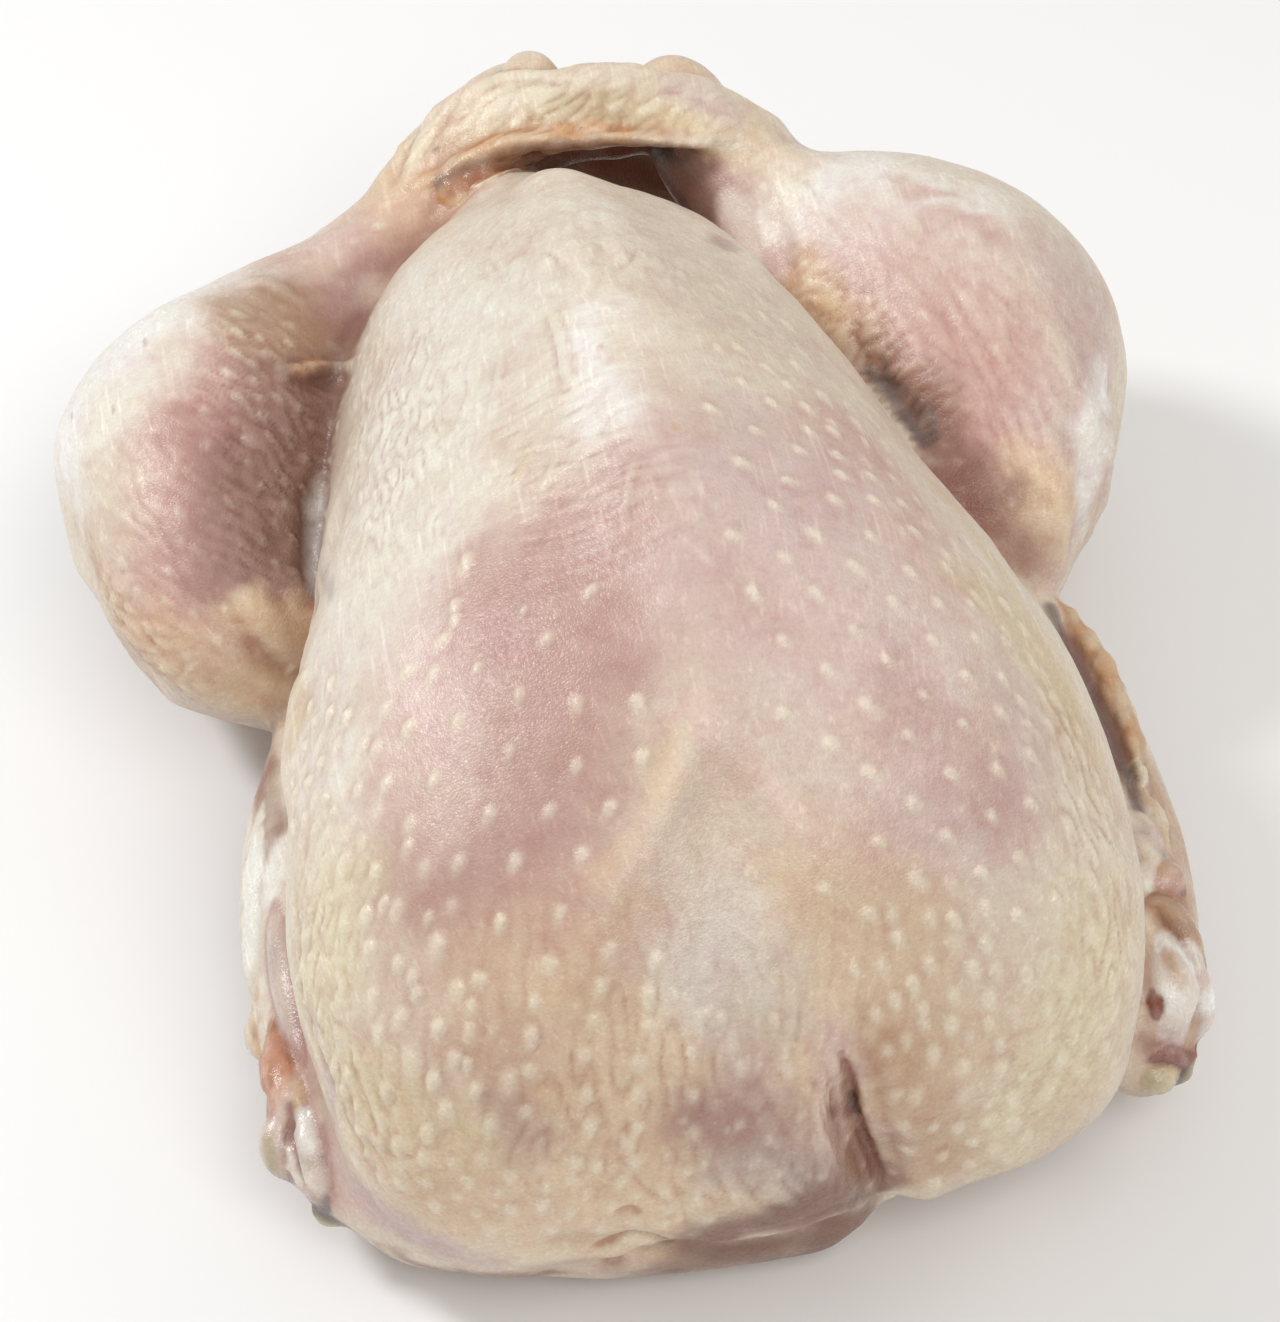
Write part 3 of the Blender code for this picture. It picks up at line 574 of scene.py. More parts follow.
    "strap light": ("ivory", [(430, 110), (500, 84), (640, 76), (720, 90)], 11, 0.6),
    "strap left light": ("fat", [(420, 154), (444, 126), (484, 98)], 9, 0.8),
    "strap grey": ("fat grey", [(556, 114), (590, 108), (624, 112)], 9, 0.4),
    "strap right": ("lilac", [(690, 84), (720, 100)], 11, 0.8),
    "right hock": ("peach", [(650, 62), (690, 66)], 8, 0.6),
    "cavity mouth": ("red brown", [(-20, 150, 84), (-30, 130, 80), (-34, 110, 76)], 24, 0.9),
    # Painted shade deep in the cavity
    "cavity depth": ("dark", [(24, 150, 84), (26, 130, 80), (20, 100, 80)], 24, 0.95),
    "cavity side edge": ("plum", [(38, 125, 102), (42, 118, 101), (46, 110, 97)], 10, 0.85),
    # Painted shade on the side of the cavity
    "cavity side": ("dark", [(29, 138, 100), (33, 129, 98), (35, 124, 94)], 11, 0.98),
    "cavity floor": ("brown", [(0, 160, 56), (0, 130, 54), (0, 90, 54)], 26, 0.9),
    "breast tip lip": ("butter", BREAST_TIP_LIP, 2.6, 0.8),
    "right wing": ("tan", [(1090, 640), (1130, 730), (1176, 840)], 12, 0.8),
    "right wing recess": ("plum", [(1062, 622), (1078, 659), (1100, 711), (1116, 745), (1127, 773)], 4, 0.8),
    "right wing side light": ("cream", [(1130, 800), (1140, 850)], 6, 0.7),
    "right wing end": ("tan", [(1172, 876), (1190, 920), (1204, 970)], 14, 1.0),
    "right wing tip": ("tan", [(1180, 1040), (1170, 1090)], 14, 0.8),
    "right wing side": ("brown", [(1150, 920), (1152, 1040)], 5, 0.7),
    "left wing skin": ("ivory", [(262, 830), (250, 920), (248, 980)], 12, 0.9),
    "left wing edge": ("tan", [(250, 760), (262, 800)], 8, 0.8),
    "left wing top": ("brown", [(262, 764), (268, 800), (274, 840)], 8, 0.95),
    "left wing white": ("white sheen", [(277, 864), (278, 920)], 6, 0.9),
    "left wing low": ("rose", [(310, 1050), (316, 1090), (330, 1140)], 9, 0.85),
    "left wing tip": ("pink", [(264, 1080), (290, 1150), (320, 1200)], 12, 0.8),
}

# Small marks of the skin, among them painted shade and painted highlights, laid on last: tone, where, reach in mm
# and strength
MARKS = {
    # Red flesh along the crease, with painted shade in its pit
    "crease": ("red brown", [(843, 1060), (850, 1076), (853, 1092), (856, 1112), (863, 1132), (871, 1152),
                             (878, 1176), (882, 1190)], 1.2, 0.75),
    "crease depth": ("dark", [(854, 1100), (856, 1112), (859, 1120)], 1.1, 0.9),
    # Painted shade under the lip of the strap
    "shaded strap underside": ("umber", [(440, 182), (470, 169), (516, 152), (562, 147), (620, 146), (690, 150)], 3.2,
                        0.85),
    "under the strap": ("rust", [(452, 190), (484, 174), (516, 164), (548, 160)], 3.0, 0.8),
    # Painted shade in the recess between the flank and the right wing's roll
    "recess by the right wing": ("slate", [(1050, 608), (1062, 636), (1076, 662), (1098, 702), (1115, 740),
                                           (1128, 776), (1137, 806)], 2.6, 0.85),
    "shade of the right roll": ("umber", [(1072, 640), (1090, 672), (1110, 712), (1126, 752)], 2.2, 0.6),
    # Painted shade in the recess beside the right breast
    "right breast recess": ("slate", [(871, 372), (883, 386), (894, 399)], 2.8, 0.8),
    "right breast low recess": ("slate", [(900, 411), (912, 427), (923, 441)], 2.6, 0.85),
    "right breast fat": ("straw", [(936, 486), (956, 510), (982, 545), (1003, 572), (1020, 606), (1040, 645),
                                   (1062, 690)], 5.5, 0.7),
    # Painted shade under the bulge and along its lower edge
    "under the bulge": ("umber", [(690, 1236), (760, 1222), (826, 1206)], 5, 0.6),
    "edge of the bulge": ("umber", [(762, 1232), (800, 1225), (836, 1211), (868, 1196), (880, 1188)], 3.6, 0.8),
    "left web": ("peach", [(256, 612), (280, 630), (300, 636)], 4, 0.7),
    "left recess": ("blue grey", [(318, 500), (314, 560), (316, 606)], 3, 0.6),
    "right ankle bone": ("bone", [(730, 205), (742, 232), (752, 256)], 6, 0.8),
    "right wing end": ("tan", [(1168, 956), (1178, 982)], 3, 0.6),
    "left wing flap": ("white sheen", [(257, 850), (250, 900), (248, 960)], 4, 0.7),
    "left wing meat": ("raw", [(272, 1036), (276, 1056), (282, 1082), (270, 1108)], 3.2, 0.6),
    "left wing red": ("rust", [(262, 1084), (266, 1104), (270, 1116)], 2.2, 0.8),
    # Painted shade in the groove between the condyles
    "between the condyles": ("plum", [(290, 1106), (291, 1138), (296, 1172)], 1.4, 0.8),
    "condyle light": ("white sheen", [(304, 1116), (309, 1146)], 2.8, 0.7),
    # Painted shade on the side and underside of the condyles
    "condyle side": ("fat grey", [(268, 1140), (273, 1170), (284, 1192)], 2.2, 0.7),
    "condyle stripe": ("rust", [(302, 1184), (314, 1200)], 1.6, 0.5),
    "condyle underside": ("slate", [(310, 1206), (328, 1218), (348, 1230)], 3.2, 0.95),
    "flesh behind the tip": ("umber", [(540, 166), (580, 166), (620, 170), (660, 184), (690, 200)], 13, 0.95),
    "flesh under the mouth": ("red brown", [(600, 166), (640, 176), (676, 192)], 9, 0.6),
    "pin mark": ("blood", [(144, 338), (145, 344)], 0.8, 0.4),
    "second pin mark": ("blood", [(114, 407), (114, 412)], 0.8, 0.4),
    "third pin mark": ("blood", [(70, 413), (71, 418)], 0.8, 0.4),
    "yellow scratch": ("straw", [(762, 888), (772, 880), (784, 868)], 0.8, 0.8),
    "yellow scab": ("straw", YELLOW_SCAB, 1.5, 0.7),
    "orange speck": ("orange", [(600, 346), (601, 349)], 0.9, 0.5),
    "second orange speck": ("orange", [(674, 428), (676, 431)], 0.9, 0.6),
    "third orange speck": ("orange", [(800, 505), (802, 508)], 0.9, 0.5),
}

# How the tints wander, in mm, over lumps of a size and three noises, and how softly tints and marks fade
TINT_DRIFT = 7
TINT_WANDER = ((19, (40, 50, 60), 1), (6, (45, 55, 65), 0.4))
TINT_SOFTNESS = 0.75
MARK_SOFTNESS = 0.5

# Mottling of the skin: size in mm, which noise, tone and depth, and how hard its edges are
MOTTLING = (
    (24, 71, "pink", 0.25),
    (13, 72, "straw", 0.25),
    (6, 73, "pink", 0.22),
    (5, 74, "butter", 0.14),
    (2.6, 75, "rose", 0.4),
)
MOTTLING_EDGE = 1.6

# Where the finished skin is cut into pieces: a place in mm on each plane, and the way it faces. Points nearer
# to a plane than the cut's reach count as on it. Loose parts of fewer points than a speck are left out.
FRONT_CUT = ((0, -45, 0), (0, -1, 0))
LEFT_LEG_CUT = ((-65, 55, 0), (-0.956, 0.294, 0))
RIGHT_LEG_CUT = ((68.5, 55, 0), (0.969, 0.246, 0))
LEVEL_CUT = ((0, 0, 44), (0, 0, 1))
TAIL_CUT = ((0, 60, 0), (0, 1, 0))
CUT_REACH = 0.001 * MM
SPECK = 400

# How the tint follows the relief: how wide and how high the relief is that counts in full, how much paler a
# follicle is, how much a peak is lightened as painted highlight, how much a crease is darkened as painted shade
# and how much of a fine crease counts, how the underside is darkened as painted shade by the way it faces and how
# much, and how green a colour is that takes paleness, and its least share
RELIEF_ROUNDS = 14
RELIEF_HEIGHT = 0.26
FOLLICLE_LIGHT = 0.5
PEAK_LIGHT = 0.24
CREASE_SHADE = (0.22, 0.33, 0.37)
FINE_CREASE = 0.6
UNDERSIDE_TURN = (-1.4, -0.1)
UNDERSIDE_SHADE = (0.34, 0.46, 0.50)
DARK_FLESH = 0.08
LIGHT_SKIN = 0.34
LEAST_SHARE = 0.12

# The fine pattern in the material, in lumps to a metre, its streaks drawn out by an angle and three scales,
# what grain and streaks do to the tint and how much of each shows (least and most, and the pattern's range),
# how rough the skin is, how much glossier where it is wet, and how high its fine relief is in metres
GRAIN = 900
PORES = 1500
FINE_RELIEF = 2200
FINE_HEIGHT = 1.1
STREAK_ANGLE = math.radians(-34)
STREAKS = (800, 45, 800)
GRAIN_SHADE = (0.74, 0.62, 0.57, 1)
GRAIN_SPREAD = (0.0, 0.34, 0.4, 0.75)
STREAK_LIGHT = (1.2, 1.22, 1.24, 1)
STREAK_SPREAD = (0.0, 0.7, 0.56, 0.76)
ROUGHNESS = (0.34, 0.6)
WET_SHEEN = 0.6
RELIEF_STRENGTH = 0.42
RELIEF_DISTANCE = 0.0002


def smooth_through(rows, count):
    """Rows of numbers read at count even steps of a Catmull-Rom curve through them."""
    rows = np.asarray(rows, float)
    if len(rows) == 1:
        return np.repeat(rows, count, axis=0)
    padded = np.vstack([2 * rows[0] - rows[1], rows, 2 * rows[-1] - rows[-2]])
    at = np.linspace(0, len(rows) - 1, count)
    first = np.minimum(at.astype(int), len(rows) - 2)
    t = (at - first)[:, None]
    a, b, c, d = (padded[first + k] for k in range(4))
    return 0.5 * (2 * b + (c - a) * t + (2 * a - 5 * b + 4 * c - d) * t**2 + (3 * b - a - 3 * c + d) * t**3)


def read_along(rows, run, at):
    """Rows of numbers that stand at the marks of a run, read at other places of it."""
    return np.column_stack([np.interp(at, run, column) for column in rows.T])


def even_through(rows, count):
    """Rows of numbers at count places that lie evenly along the curve through them."""
    fine = smooth_through(rows, FINE_STEPS)
    run = np.concatenate([[0], np.cumsum(np.linalg.norm(np.diff(fine, axis=0), axis=1))])
    return read_along(fine, run, np.linspace(0, run[-1], count))


def smooth_row(rows, at):
    """Rows of numbers read on the same curve, at shares of its rows from 0 to 1."""
    return read_along(smooth_through(rows, FINE_STEPS), np.linspace(0, 1, FINE_STEPS), at)


def mesh_object(name, bm):
    mesh = bpy.data.meshes.new(name)
    bm.to_mesh(mesh)
    bm.free()
    obj = bpy.data.objects.new(name, mesh)
    bpy.context.scene.collection.objects.link(obj)
    return obj


def apply_modifiers(obj):
    graph = bpy.context.evaluated_depsgraph_get()
    mesh = bpy.data.meshes.new_from_object(obj.evaluated_get(graph))
    obj.modifiers.clear()
    obj.data = mesh


def numbers_of(items, key):
    """Three numbers of each item as rows."""
    rows = np.empty(len(items) * 3, np.float32)
    items.foreach_get(key, rows)
    return rows.reshape(-1, 3).astype(float)


def polygons_of(mesh):
    return [tuple(face.vertices) for face in mesh.polygons]


def direction(azimuth, elevation):
    """The way to a place around the bird. Azimuth 0 is in front of it, and 90 degrees at its right."""
    flat = math.cos(elevation)
    return Vector((math.sin(azimuth) * flat, -math.cos(azimuth) * flat, math.sin(elevation)))


def camera_turn():
    """Which way the camera stands from its target, and how it is turned."""
    back = direction(CAMERA_AZIMUTH, CAMERA_ELEVATION)
    return back, back.to_track_quat("Z", "Y")


def make_camera():
    back, turn = camera_turn()
    data = bpy.data.cameras.new("camera")
    data.lens = LENS
    data.sensor_width = SENSOR
    data.clip_start = 0.05
    camera = bpy.data.objects.new("camera", data)
    camera.location = CAMERA_TARGET + back * CAMERA_DISTANCE
    camera.rotation_mode = "QUATERNION"
    camera.rotation_quaternion = turn
    bpy.context.scene.collection.objects.link(camera)
    bpy.context.scene.camera = camera


def make_light(name, azimuth, elevation, distance, width, power, colour):
    """A soft square light that looks at the bird."""
    data = bpy.data.lights.new(name, "AREA")
    data.size = width
    data.energy = power
    data.color = colour
    light = bpy.data.objects.new(name, data)
    toward = direction(math.radians(azimuth), math.radians(elevation))
    light.location = CAMERA_TARGET + toward * distance
    light.rotation_mode = "QUATERNION"
    light.rotation_quaternion = toward.to_track_quat("Z", "Y")
    bpy.context.scene.collection.objects.link(light)


def make_stage():
    bm = bmesh.new()
    bmesh.ops.create_grid(bm, x_segments=1, y_segments=1, size=FLOOR_REACH)
    floor = mesh_object("floor", bm)
    material = bpy.data.materials.new("pale floor")
    material.use_nodes = True
    shader = material.node_tree.nodes["Principled BSDF"]
    shader.inputs["Base Color"].default_value = FLOOR_TONE
    shader.inputs["Roughness"].default_value = 0.7
    shader.inputs["Specular IOR Level"].default_value = 0.1
    floor.data.materials.append(material)
    world = bpy.data.worlds.new("studio")
    world.use_nodes = True
    background = world.node_tree.nodes["Background"]
    background.inputs["Color"].default_value = (1.0, 1.0, 1.0, 1)
    background.inputs["Strength"].default_value = AIR_LIGHT
    bpy.context.scene.world = world
    for name, row in LIGHTS.items():
        make_light(name, *row)
    bpy.context.scene.view_settings.view_transform = "Standard"


class Sight:
    """A surface, and where a pixel of the photograph meets it."""

    def __init__(self, points, polygons):
        self.surface = BVHTree.FromPolygons(points, polygons)
        back, turn = camera_turn()
        self.eye = CAMERA_TARGET + back * CAMERA_DISTANCE
        self.turn = turn

    def seen(self, pixel):
        """Where a pixel of the photograph meets the surface, and the normal there."""
        x = (pixel[0] - PHOTO_WIDTH / 2) / PHOTO_HEIGHT * SENSOR / LENS
        y = (PHOTO_HEIGHT / 2 - pixel[1]) / PHOTO_HEIGHT * SENSOR / LENS
        sight = (self.turn @ Vector((x, y, -1))).normalized()
        place, normal, _, _ = self.surface.ray_cast(self.eye, sight)
        if place is None:
            steps = [self.eye + sight * (CAMERA_DISTANCE + step * SEARCH_STEP * MM) for step in SEARCH]
            nearest = min((self.surface.find_nearest(step) for step in steps), key=lambda found: found[3])
            place, normal = nearest[:2]
        return place, normal

    def touch(self, spot):
        """A place on the surface by its pixel, or by three numbers in millimetres."""
        if len(spot) == 2:
            return self.seen(spot)
        place, normal, _, _ = self.surface.find_nearest(Vector(spot) * MM)
        return place, normal


class Skin(Sight):
    """The grown skin, whose points move while the spots keep to where they first were."""

    def __init__(self, obj):
        self.obj = obj
        self.read()
        self.base = self.points.copy()
        self.base_normals = self.normals.copy()
        super().__init__(self.points.tolist(), polygons_of(obj.data))
        self.near = KDTree(len(self.base))
        for index, point in enumerate(self.base):
            self.near.insert(point, index)
        self.near.balance()

    def read(self):
        self.points = numbers_of(self.obj.data.vertices, "co")
        self.normals = numbers_of(self.obj.data.vertex_normals, "vector")

    def raise_by(self, lift):
        """Move the skin along its normals by millimetres."""
        points = self.points + self.normals * (lift * MM)[:, None]
        points[:, 2] = np.maximum(points[:, 2], 0)
        self.obj.data.vertices.foreach_set("co", points.astype(np.float32).ravel())
        self.obj.data.update()
        self.read()

    def closeness(self, spots, reach, drift=None):
        """How near each point lies to a line of spots: 1 on it and 0 at its reach in millimetres.

        A form tapers to both ends of its line; with a drift of the points it is a tint and doesn't.
        """
        count = 1 if len(spots) == 1 else FORM_STEPS * len(spots)
        found = [self.touch(spot) for spot in smooth_through(spots, count)]
        places = np.array([place for place, _ in found])
        facing = np.array([normal for _, normal in found])
        along = np.linspace(0, 1, count) if count > 1 else np.array([0.5])
        taper = (4 * along * (1 - along)) ** TAPER if drift is None else np.ones(count)
        points = self.base if drift is None else self.base + drift
        low, high = places.min(0) - reach * MM, places.max(0) + reach * MM
        inside = np.nonzero(((points > low) & (points < high)).all(axis=1))[0]
        result = np.zeros(len(self.base))
        best = np.zeros(len(inside))
        half, slope = TURN_FADE
        for place, normal, share in zip(places, facing, taper):
            distance = np.linalg.norm(points[inside] - place, axis=1)
            near = share * np.clip(1 - (distance / (reach * MM)) ** 2, 0, 1) ** 2
            closer = near > best
            turned = np.clip(half + slope * (self.base_normals[inside[closer]] @ normal), 0, 1)
            best[closer] = np.maximum(best[closer], near[closer] * turned)
        result[inside] = best
        return result

    def axes(self, spots):
        """Along, across and out of the skin, from the first of two spots to the second."""
        (start, out), (end, _) = self.touch(spots[0]), self.touch(spots[1])
        across = out.cross(end - start).normalized()
        return across.cross(out), across, out


def noise_over(points, size, shift=0):
    """Smooth noise from about -1 to 1 at each point, with lumps of size millimetres."""
    return np.array([noise.noise(p) for p in (points / (size * MM) + shift).tolist()])


def noises_over(points, size, shifts):
    """Three smooth noises at each point, as a way to wander."""
    return np.column_stack([noise_over(points, size, shift) for shift in shifts])


def make_strand(sight, spots, sizes, rise, lumps, tones, wet):
    """A closed soft form that follows spots. Gives its object, the colours of its points and its wetness."""
    found = []
    for spot in spots:
        if len(spot) == 6:
            found.append((Vector(spot[:3]) * MM, Vector(spot[3:])))
        else:
            place, normal = sight.touch(spot)
            found.append((place + normal * rise * MM, normal))
    bm = bmesh.new()
    bmesh.ops.create_uvsphere(bm, u_segments=STRAND_SIDES, v_segments=STRAND_RINGS, radius=1)
    form = mesh_object("strand", bm)
    ball = numbers_of(form.data.vertices, "co")
    at = np.arccos(np.clip(-ball[:, 2], -1, 1)) / math.pi
    places = [place for place, _ in found]
    centre = smooth_row(places, at)
    ahead = smooth_row(places, np.clip(at + STRAND_AHEAD, 0, 1))
    ahead -= smooth_row(places, np.clip(at - STRAND_AHEAD, 0, 1))
    up = smooth_row([normal for _, normal in found], at)
    side = np.cross(ahead, up)
    side /= np.linalg.norm(side, axis=1)[:, None]
    up = np.cross(side, ahead)
    up /= np.linalg.norm(up, axis=1)[:, None]
    size = smooth_row(sizes, at) * MM
    full = np.clip(np.hypot(ball[:, 0], ball[:, 1]), 1e-6, 1) ** -STRAND_BLUNTNESS
    out = side * (ball[:, 0] * full * size[:, 0])[:, None] + up * (ball[:, 1] * full * size[:, 1])[:, None]
    length, height = lumps
    share, finer, shift = STRAND_FINE_LUMPS
    wave = noise_over(centre + out, length) + share * noise_over(centre + out, length / finer, shift)
    reach = np.maximum(np.linalg.norm(out, axis=1), 1e-6)
    swell = 1 + wave * height * MM / reach * np.clip(reach / (STRAND_CORE * MM), 0, 1)
    points = centre + out * swell[:, None]
    form.data.vertices.foreach_set("co", points.astype(np.float32).ravel())
    form.data.update()
    first, second, end = (linear(TONES[tone]) for tone in tones)
    strength, wider, shift = STRAND_MIX
    mix = np.clip(0.5 + strength * noise_over(points, length * wider, shift), 0, 1)
    colour = first + (second - first) * mix[:, None]
    start, run = STRAND_END
    colour += (end - colour) * np.clip((at - start) / run, 0, 1)[:, None]
    # Painted shade in the hollows between the lumps
    darkness, depth = STRAND_SHADE
    colour *= 1 - darkness * np.clip(-wave * depth, 0, 1)[:, None]
    return form, colour, wet


def tint_strands(skin, strands, colour):
    """Colour the skin where it lies on a strand, and take the strands away. Gives how wet each point is."""
    wetness = np.zeros(len(skin.base))
    for form, shades, wet in strands:
        points = numbers_of(form.data.vertices, "co")
        polygons = polygons_of(form.data)
        surface = BVHTree.FromPolygons(points.tolist(), polygons)
        edge = STRAND_EDGE * MM
        near = ((skin.base > points.min(0) - edge) & (skin.base < points.max(0) + edge)).all(axis=1)
        for index in np.nonzero(near)[0]:
            _, _, face, gap = surface.find_nearest(Vector(skin.base[index]), edge)
            if face is not None:
                share = min(1, STRAND_FIRMNESS * (1 - gap / edge))
                shade = shades[polygons[face][0]]
                colour[index] += (shade - colour[index]) * share
                wetness[index] += (wet - wetness[index]) * share
        bpy.data.objects.remove(form)
    return wetness


def lean_form(form):
    """Lean the rounded form across the view where its outline asks for it."""
    points = numbers_of(form.data.vertices, "co")
    sight = Sight(points.tolist(), polygons_of(form.data))
    right, up = (np.array(sight.turn @ Vector(axis)) for axis in ((1, 0, 0), (0, 1, 0)))
    moved = points.copy()
    for pixels, reach, across, rise in LEANS.values():
        share = np.zeros(len(points))
        for pixel in smooth_through(pixels, LEAN_STEPS * len(pixels)):
            gap = np.linalg.norm(points - np.array(sight.seen(pixel)[0]), axis=1)
            share = np.maximum(share, np.clip(1 - (gap / (reach * MM)) ** 2, 0, 1) ** 2)
        moved += share[:, None] * (right * across + up * rise) * MM
    moved[:, 2] = np.maximum(moved[:, 2], 0)
    form.data.vertices.foreach_set("co", moved.astype(np.float32).ravel())
    form.data.update()


def grow_skin():
    """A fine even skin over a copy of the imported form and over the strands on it."""
    bm = bmesh.new()
    bm.from_mesh(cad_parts[NODE].data)
    bmesh.ops.remove_doubles(bm, verts=bm.verts, dist=MERGE)
    skin = mesh_object("skin", bm)
    round_off = skin.modifiers.new("round off", "SUBSURF")
    round_off.levels = ROUNDING_LEVELS
    round_off.render_levels = ROUNDING_LEVELS
    apply_modifiers(skin)
    lean_form(skin)
    sight = Sight(numbers_of(skin.data.vertices, "co").tolist(), polygons_of(skin.data))
    strands = [make_strand(sight, *row) for row in STRANDS.values()]
    bm = bmesh.new()
    bm.from_mesh(skin.data)
    for form, _, _ in strands:
        bm.from_mesh(form.data)
    bm.to_mesh(skin.data)
    bm.free()
    even = skin.modifiers.new("even", "REMESH")
    even.mode = "VOXEL"
    even.voxel_size = SKIN_VOXEL
    soften = skin.modifiers.new("soften", "SMOOTH")
    soften.factor = RELAX_FACTOR
    soften.iterations = RELAX_ROUNDS
    apply_modifiers(skin)
    return Skin(skin), strands


def shape_flesh(skin):
    """Muscles, hollows and folds, with the uneven lie of soft flesh over all of it."""
    lift = np.zeros(len(skin.base))
    for spots, reach, height in FLESH.values():
        lift += height * skin.closeness(spots, reach)
    for size, height in UNEVEN:
        lift += height * noise_over(skin.base, size)
    skin.raise_by(lift)


def crumple(skin):
    """Creases that run along stretched skin. Gives how deep each point lies in one, from 0 to 1."""
    lift = np.zeros(len(skin.base))
    depth = np.zeros(len(skin.base))
    size, shifts, stray = CREPE_WANDER
    wander = noises_over(skin.base, size, shifts) * stray * MM
    for spots, reach, direction, spacing, height in CREPE.values():
        near = skin.closeness(spots, reach)
        inside = np.nonzero(near > CREPE_EDGE)[0]
        along, across, out = (np.array(axis) for axis in skin.axes(direction))
        points = skin.base[inside] + wander[inside]
        grid = np.column_stack([points @ along / CREPE_STRETCH, points @ across, points @ out / CREPE_THICKNESS])
        wave = np.abs([noise.noise(p) for p in (grid / (spacing * MM)).tolist()])
        fold = np.clip(1 - FOLD_SHARPNESS * wave, 0, 1)
        lift[inside] += height * near[inside] * (wave * FOLD_RISE - FOLD_DEPTH * fold)
        depth[inside] = np.maximum(depth[inside], fold * np.sqrt(near[inside]) * min(height / FULL_HEIGHT, 1))
    skin.raise_by(lift)
    return depth


def crease(skin, chance):
    """Bands of thin parallel creases. Gives how deep each point lies in one, from 0 to 1."""
    lift = np.zeros(len(skin.base))
    depth = np.zeros(len(skin.base))
    for first, last, count, width, height in CREASES.values():
        first, last = np.array(first, float), np.array(last, float)
        for step in range(count):
            share = (step + chance.uniform(-CREASE_STRAY, CREASE_STRAY)) / max(count - 1, 1)
            line = first + (smooth_through(last, len(first)) - first) * share
            near = skin.closeness(line, width) * chance.uniform(*CREASE_STRENGTH)
            lift += height * near
            if height < 0:
                depth = np.maximum(depth, CREASE_DARKNESS * near)
    skin.raise_by(lift)
    return np.clip(depth, 0, 1)


class Follicles:
    """Feather follicles being raised: how high each point of the skin goes, and how pale it is."""

    def __init__(self, skin):
        self.skin = skin
        self.lift = np.zeros(len(skin.base))
        self.pale = np.zeros(len(skin.base))

    def stamp(self, place, normal, along, length, width, height):
        """One bump with a tail along its row, which keeps what stands higher there already."""
        side = normal.cross(along).normalized()
        ahead = side.cross(normal)
        strength = min(height / FULL_HEIGHT, 1)
        for point, index, _ in self.skin.near.find_range(place, TAIL[1] * math.sqrt(HALO) * length * MM):
            offset = point - place
            run = offset.dot(ahead)
            reach = length * MM * TAIL[run > 0]
            q = (run / reach) ** 2 + (offset.dot(side) / (width * MM)) ** 2
            if q < 1:
                self.lift[index] = max(self.lift[index], height * (1 - q) ** 2)
            if q < HALO:
                self.pale[index] = max(self.pale[index], strength * (1 - q / HALO) ** 1.5)


def raise_rows(follicles, chance):
    """The rows of single follicles on the breast and the crop."""
    for pixels, count, length in FOLLICLE_ROWS.values():
        drifts = [np.array([chance.uniform(-ROW_STRAY, ROW_STRAY) for _ in range(2)]) for _ in range(count)]
        places = [follicles.skin.seen(p + drift) for p, drift in zip(even_through(pixels, count), drifts)]
        for k, (place, normal) in enumerate(places):
            along = places[min(k + 1, count - 1)][0] - places[max(k - 1, 0)][0]
            size = length * chance.uniform(*ROW_SIZE)
            height = chance.uniform(*ROW_HEIGHT)
            follicles.stamp(place, normal, along, size, size * SLENDERNESS, height)


def raise_goose_skin(follicles, chance):
    """Crowded follicles, each as far from the others as its patch of skin asks, and a few elsewhere."""
    skin = follicles.skin
    rows = list(GOOSE_SKIN.values())
    near = np.array([skin.closeness(row[0], row[1], 0) for row in rows])
    strongest = near.argmax(axis=0)
    nearest = near.max(axis=0)
    bare = skin.closeness(*BARE, 0)
    axes = [skin.axes(row[5])[0] for row in rows]
    taken = follicles.pale > 0
    order = list(range(len(skin.base)))
    chance.shuffle(order)
    for index in order:
        if taken[index]:
            continue
        share = nearest[index]
        _, _, spacing, length, height, _ = rows[strongest[index]]
        if share < GOOSE_EDGE:
            if bare[index] > BARE_EDGE:
                continue
            spacing, length, height = SPARSE_FOLLICLES
            share = 1
        point = Vector(skin.base[index])
        for _, other, _ in skin.near.find_range(point, spacing * MM * (1.5 - 0.5 * share)):
            taken[other] = True
        size = length * chance.uniform(*GOOSE_SIZE)
        rise = height * chance.uniform(*GOOSE_RISE) * min(1, 0.3 + share * 1.4)
        normal = Vector(skin.base_normals[index])
        follicles.stamp(point, normal, axes[strongest[index]], size, size * SLENDERNESS, rise)


def linear(tone):
    """A tone of the palette as linear light."""
    share = np.array(tone) / 255
    return np.where(share <= 0.04045, share / 12.92, ((share + 0.055) / 1.055) ** 2.4)


def lit_share(colour):
    """How much of a pale spot a colour takes: all of it on light skin and little on dark flesh."""
    return np.clip((colour[:, 1] - DARK_FLESH) / LIGHT_SKIN, LEAST_SHARE, 1)


def relief_of(skin):
    """How far each point stands out from the skin around it, from -1 in a crease to 1 on a peak."""
    mesh = skin.obj.data
    edges = np.empty(len(mesh.edges) * 2, np.int32)
    mesh.edges.foreach_get("vertices", edges)
    first, second = edges[0::2], edges[1::2]
    count = len(skin.points)
    shared = np.bincount(first, minlength=count) + np.bincount(second, minlength=count)
    around = skin.points.copy()
    for _ in range(RELIEF_ROUNDS):
        sums = [np.bincount(first, around[second, k], count) + np.bincount(second, around[first, k], count)
                for k in range(3)]
        around = 0.5 * around + 0.5 * np.column_stack(sums) / shared[:, None]
    return np.clip(((skin.points - around) * skin.normals).sum(axis=1) / (RELIEF_HEIGHT * MM), -1, 1)


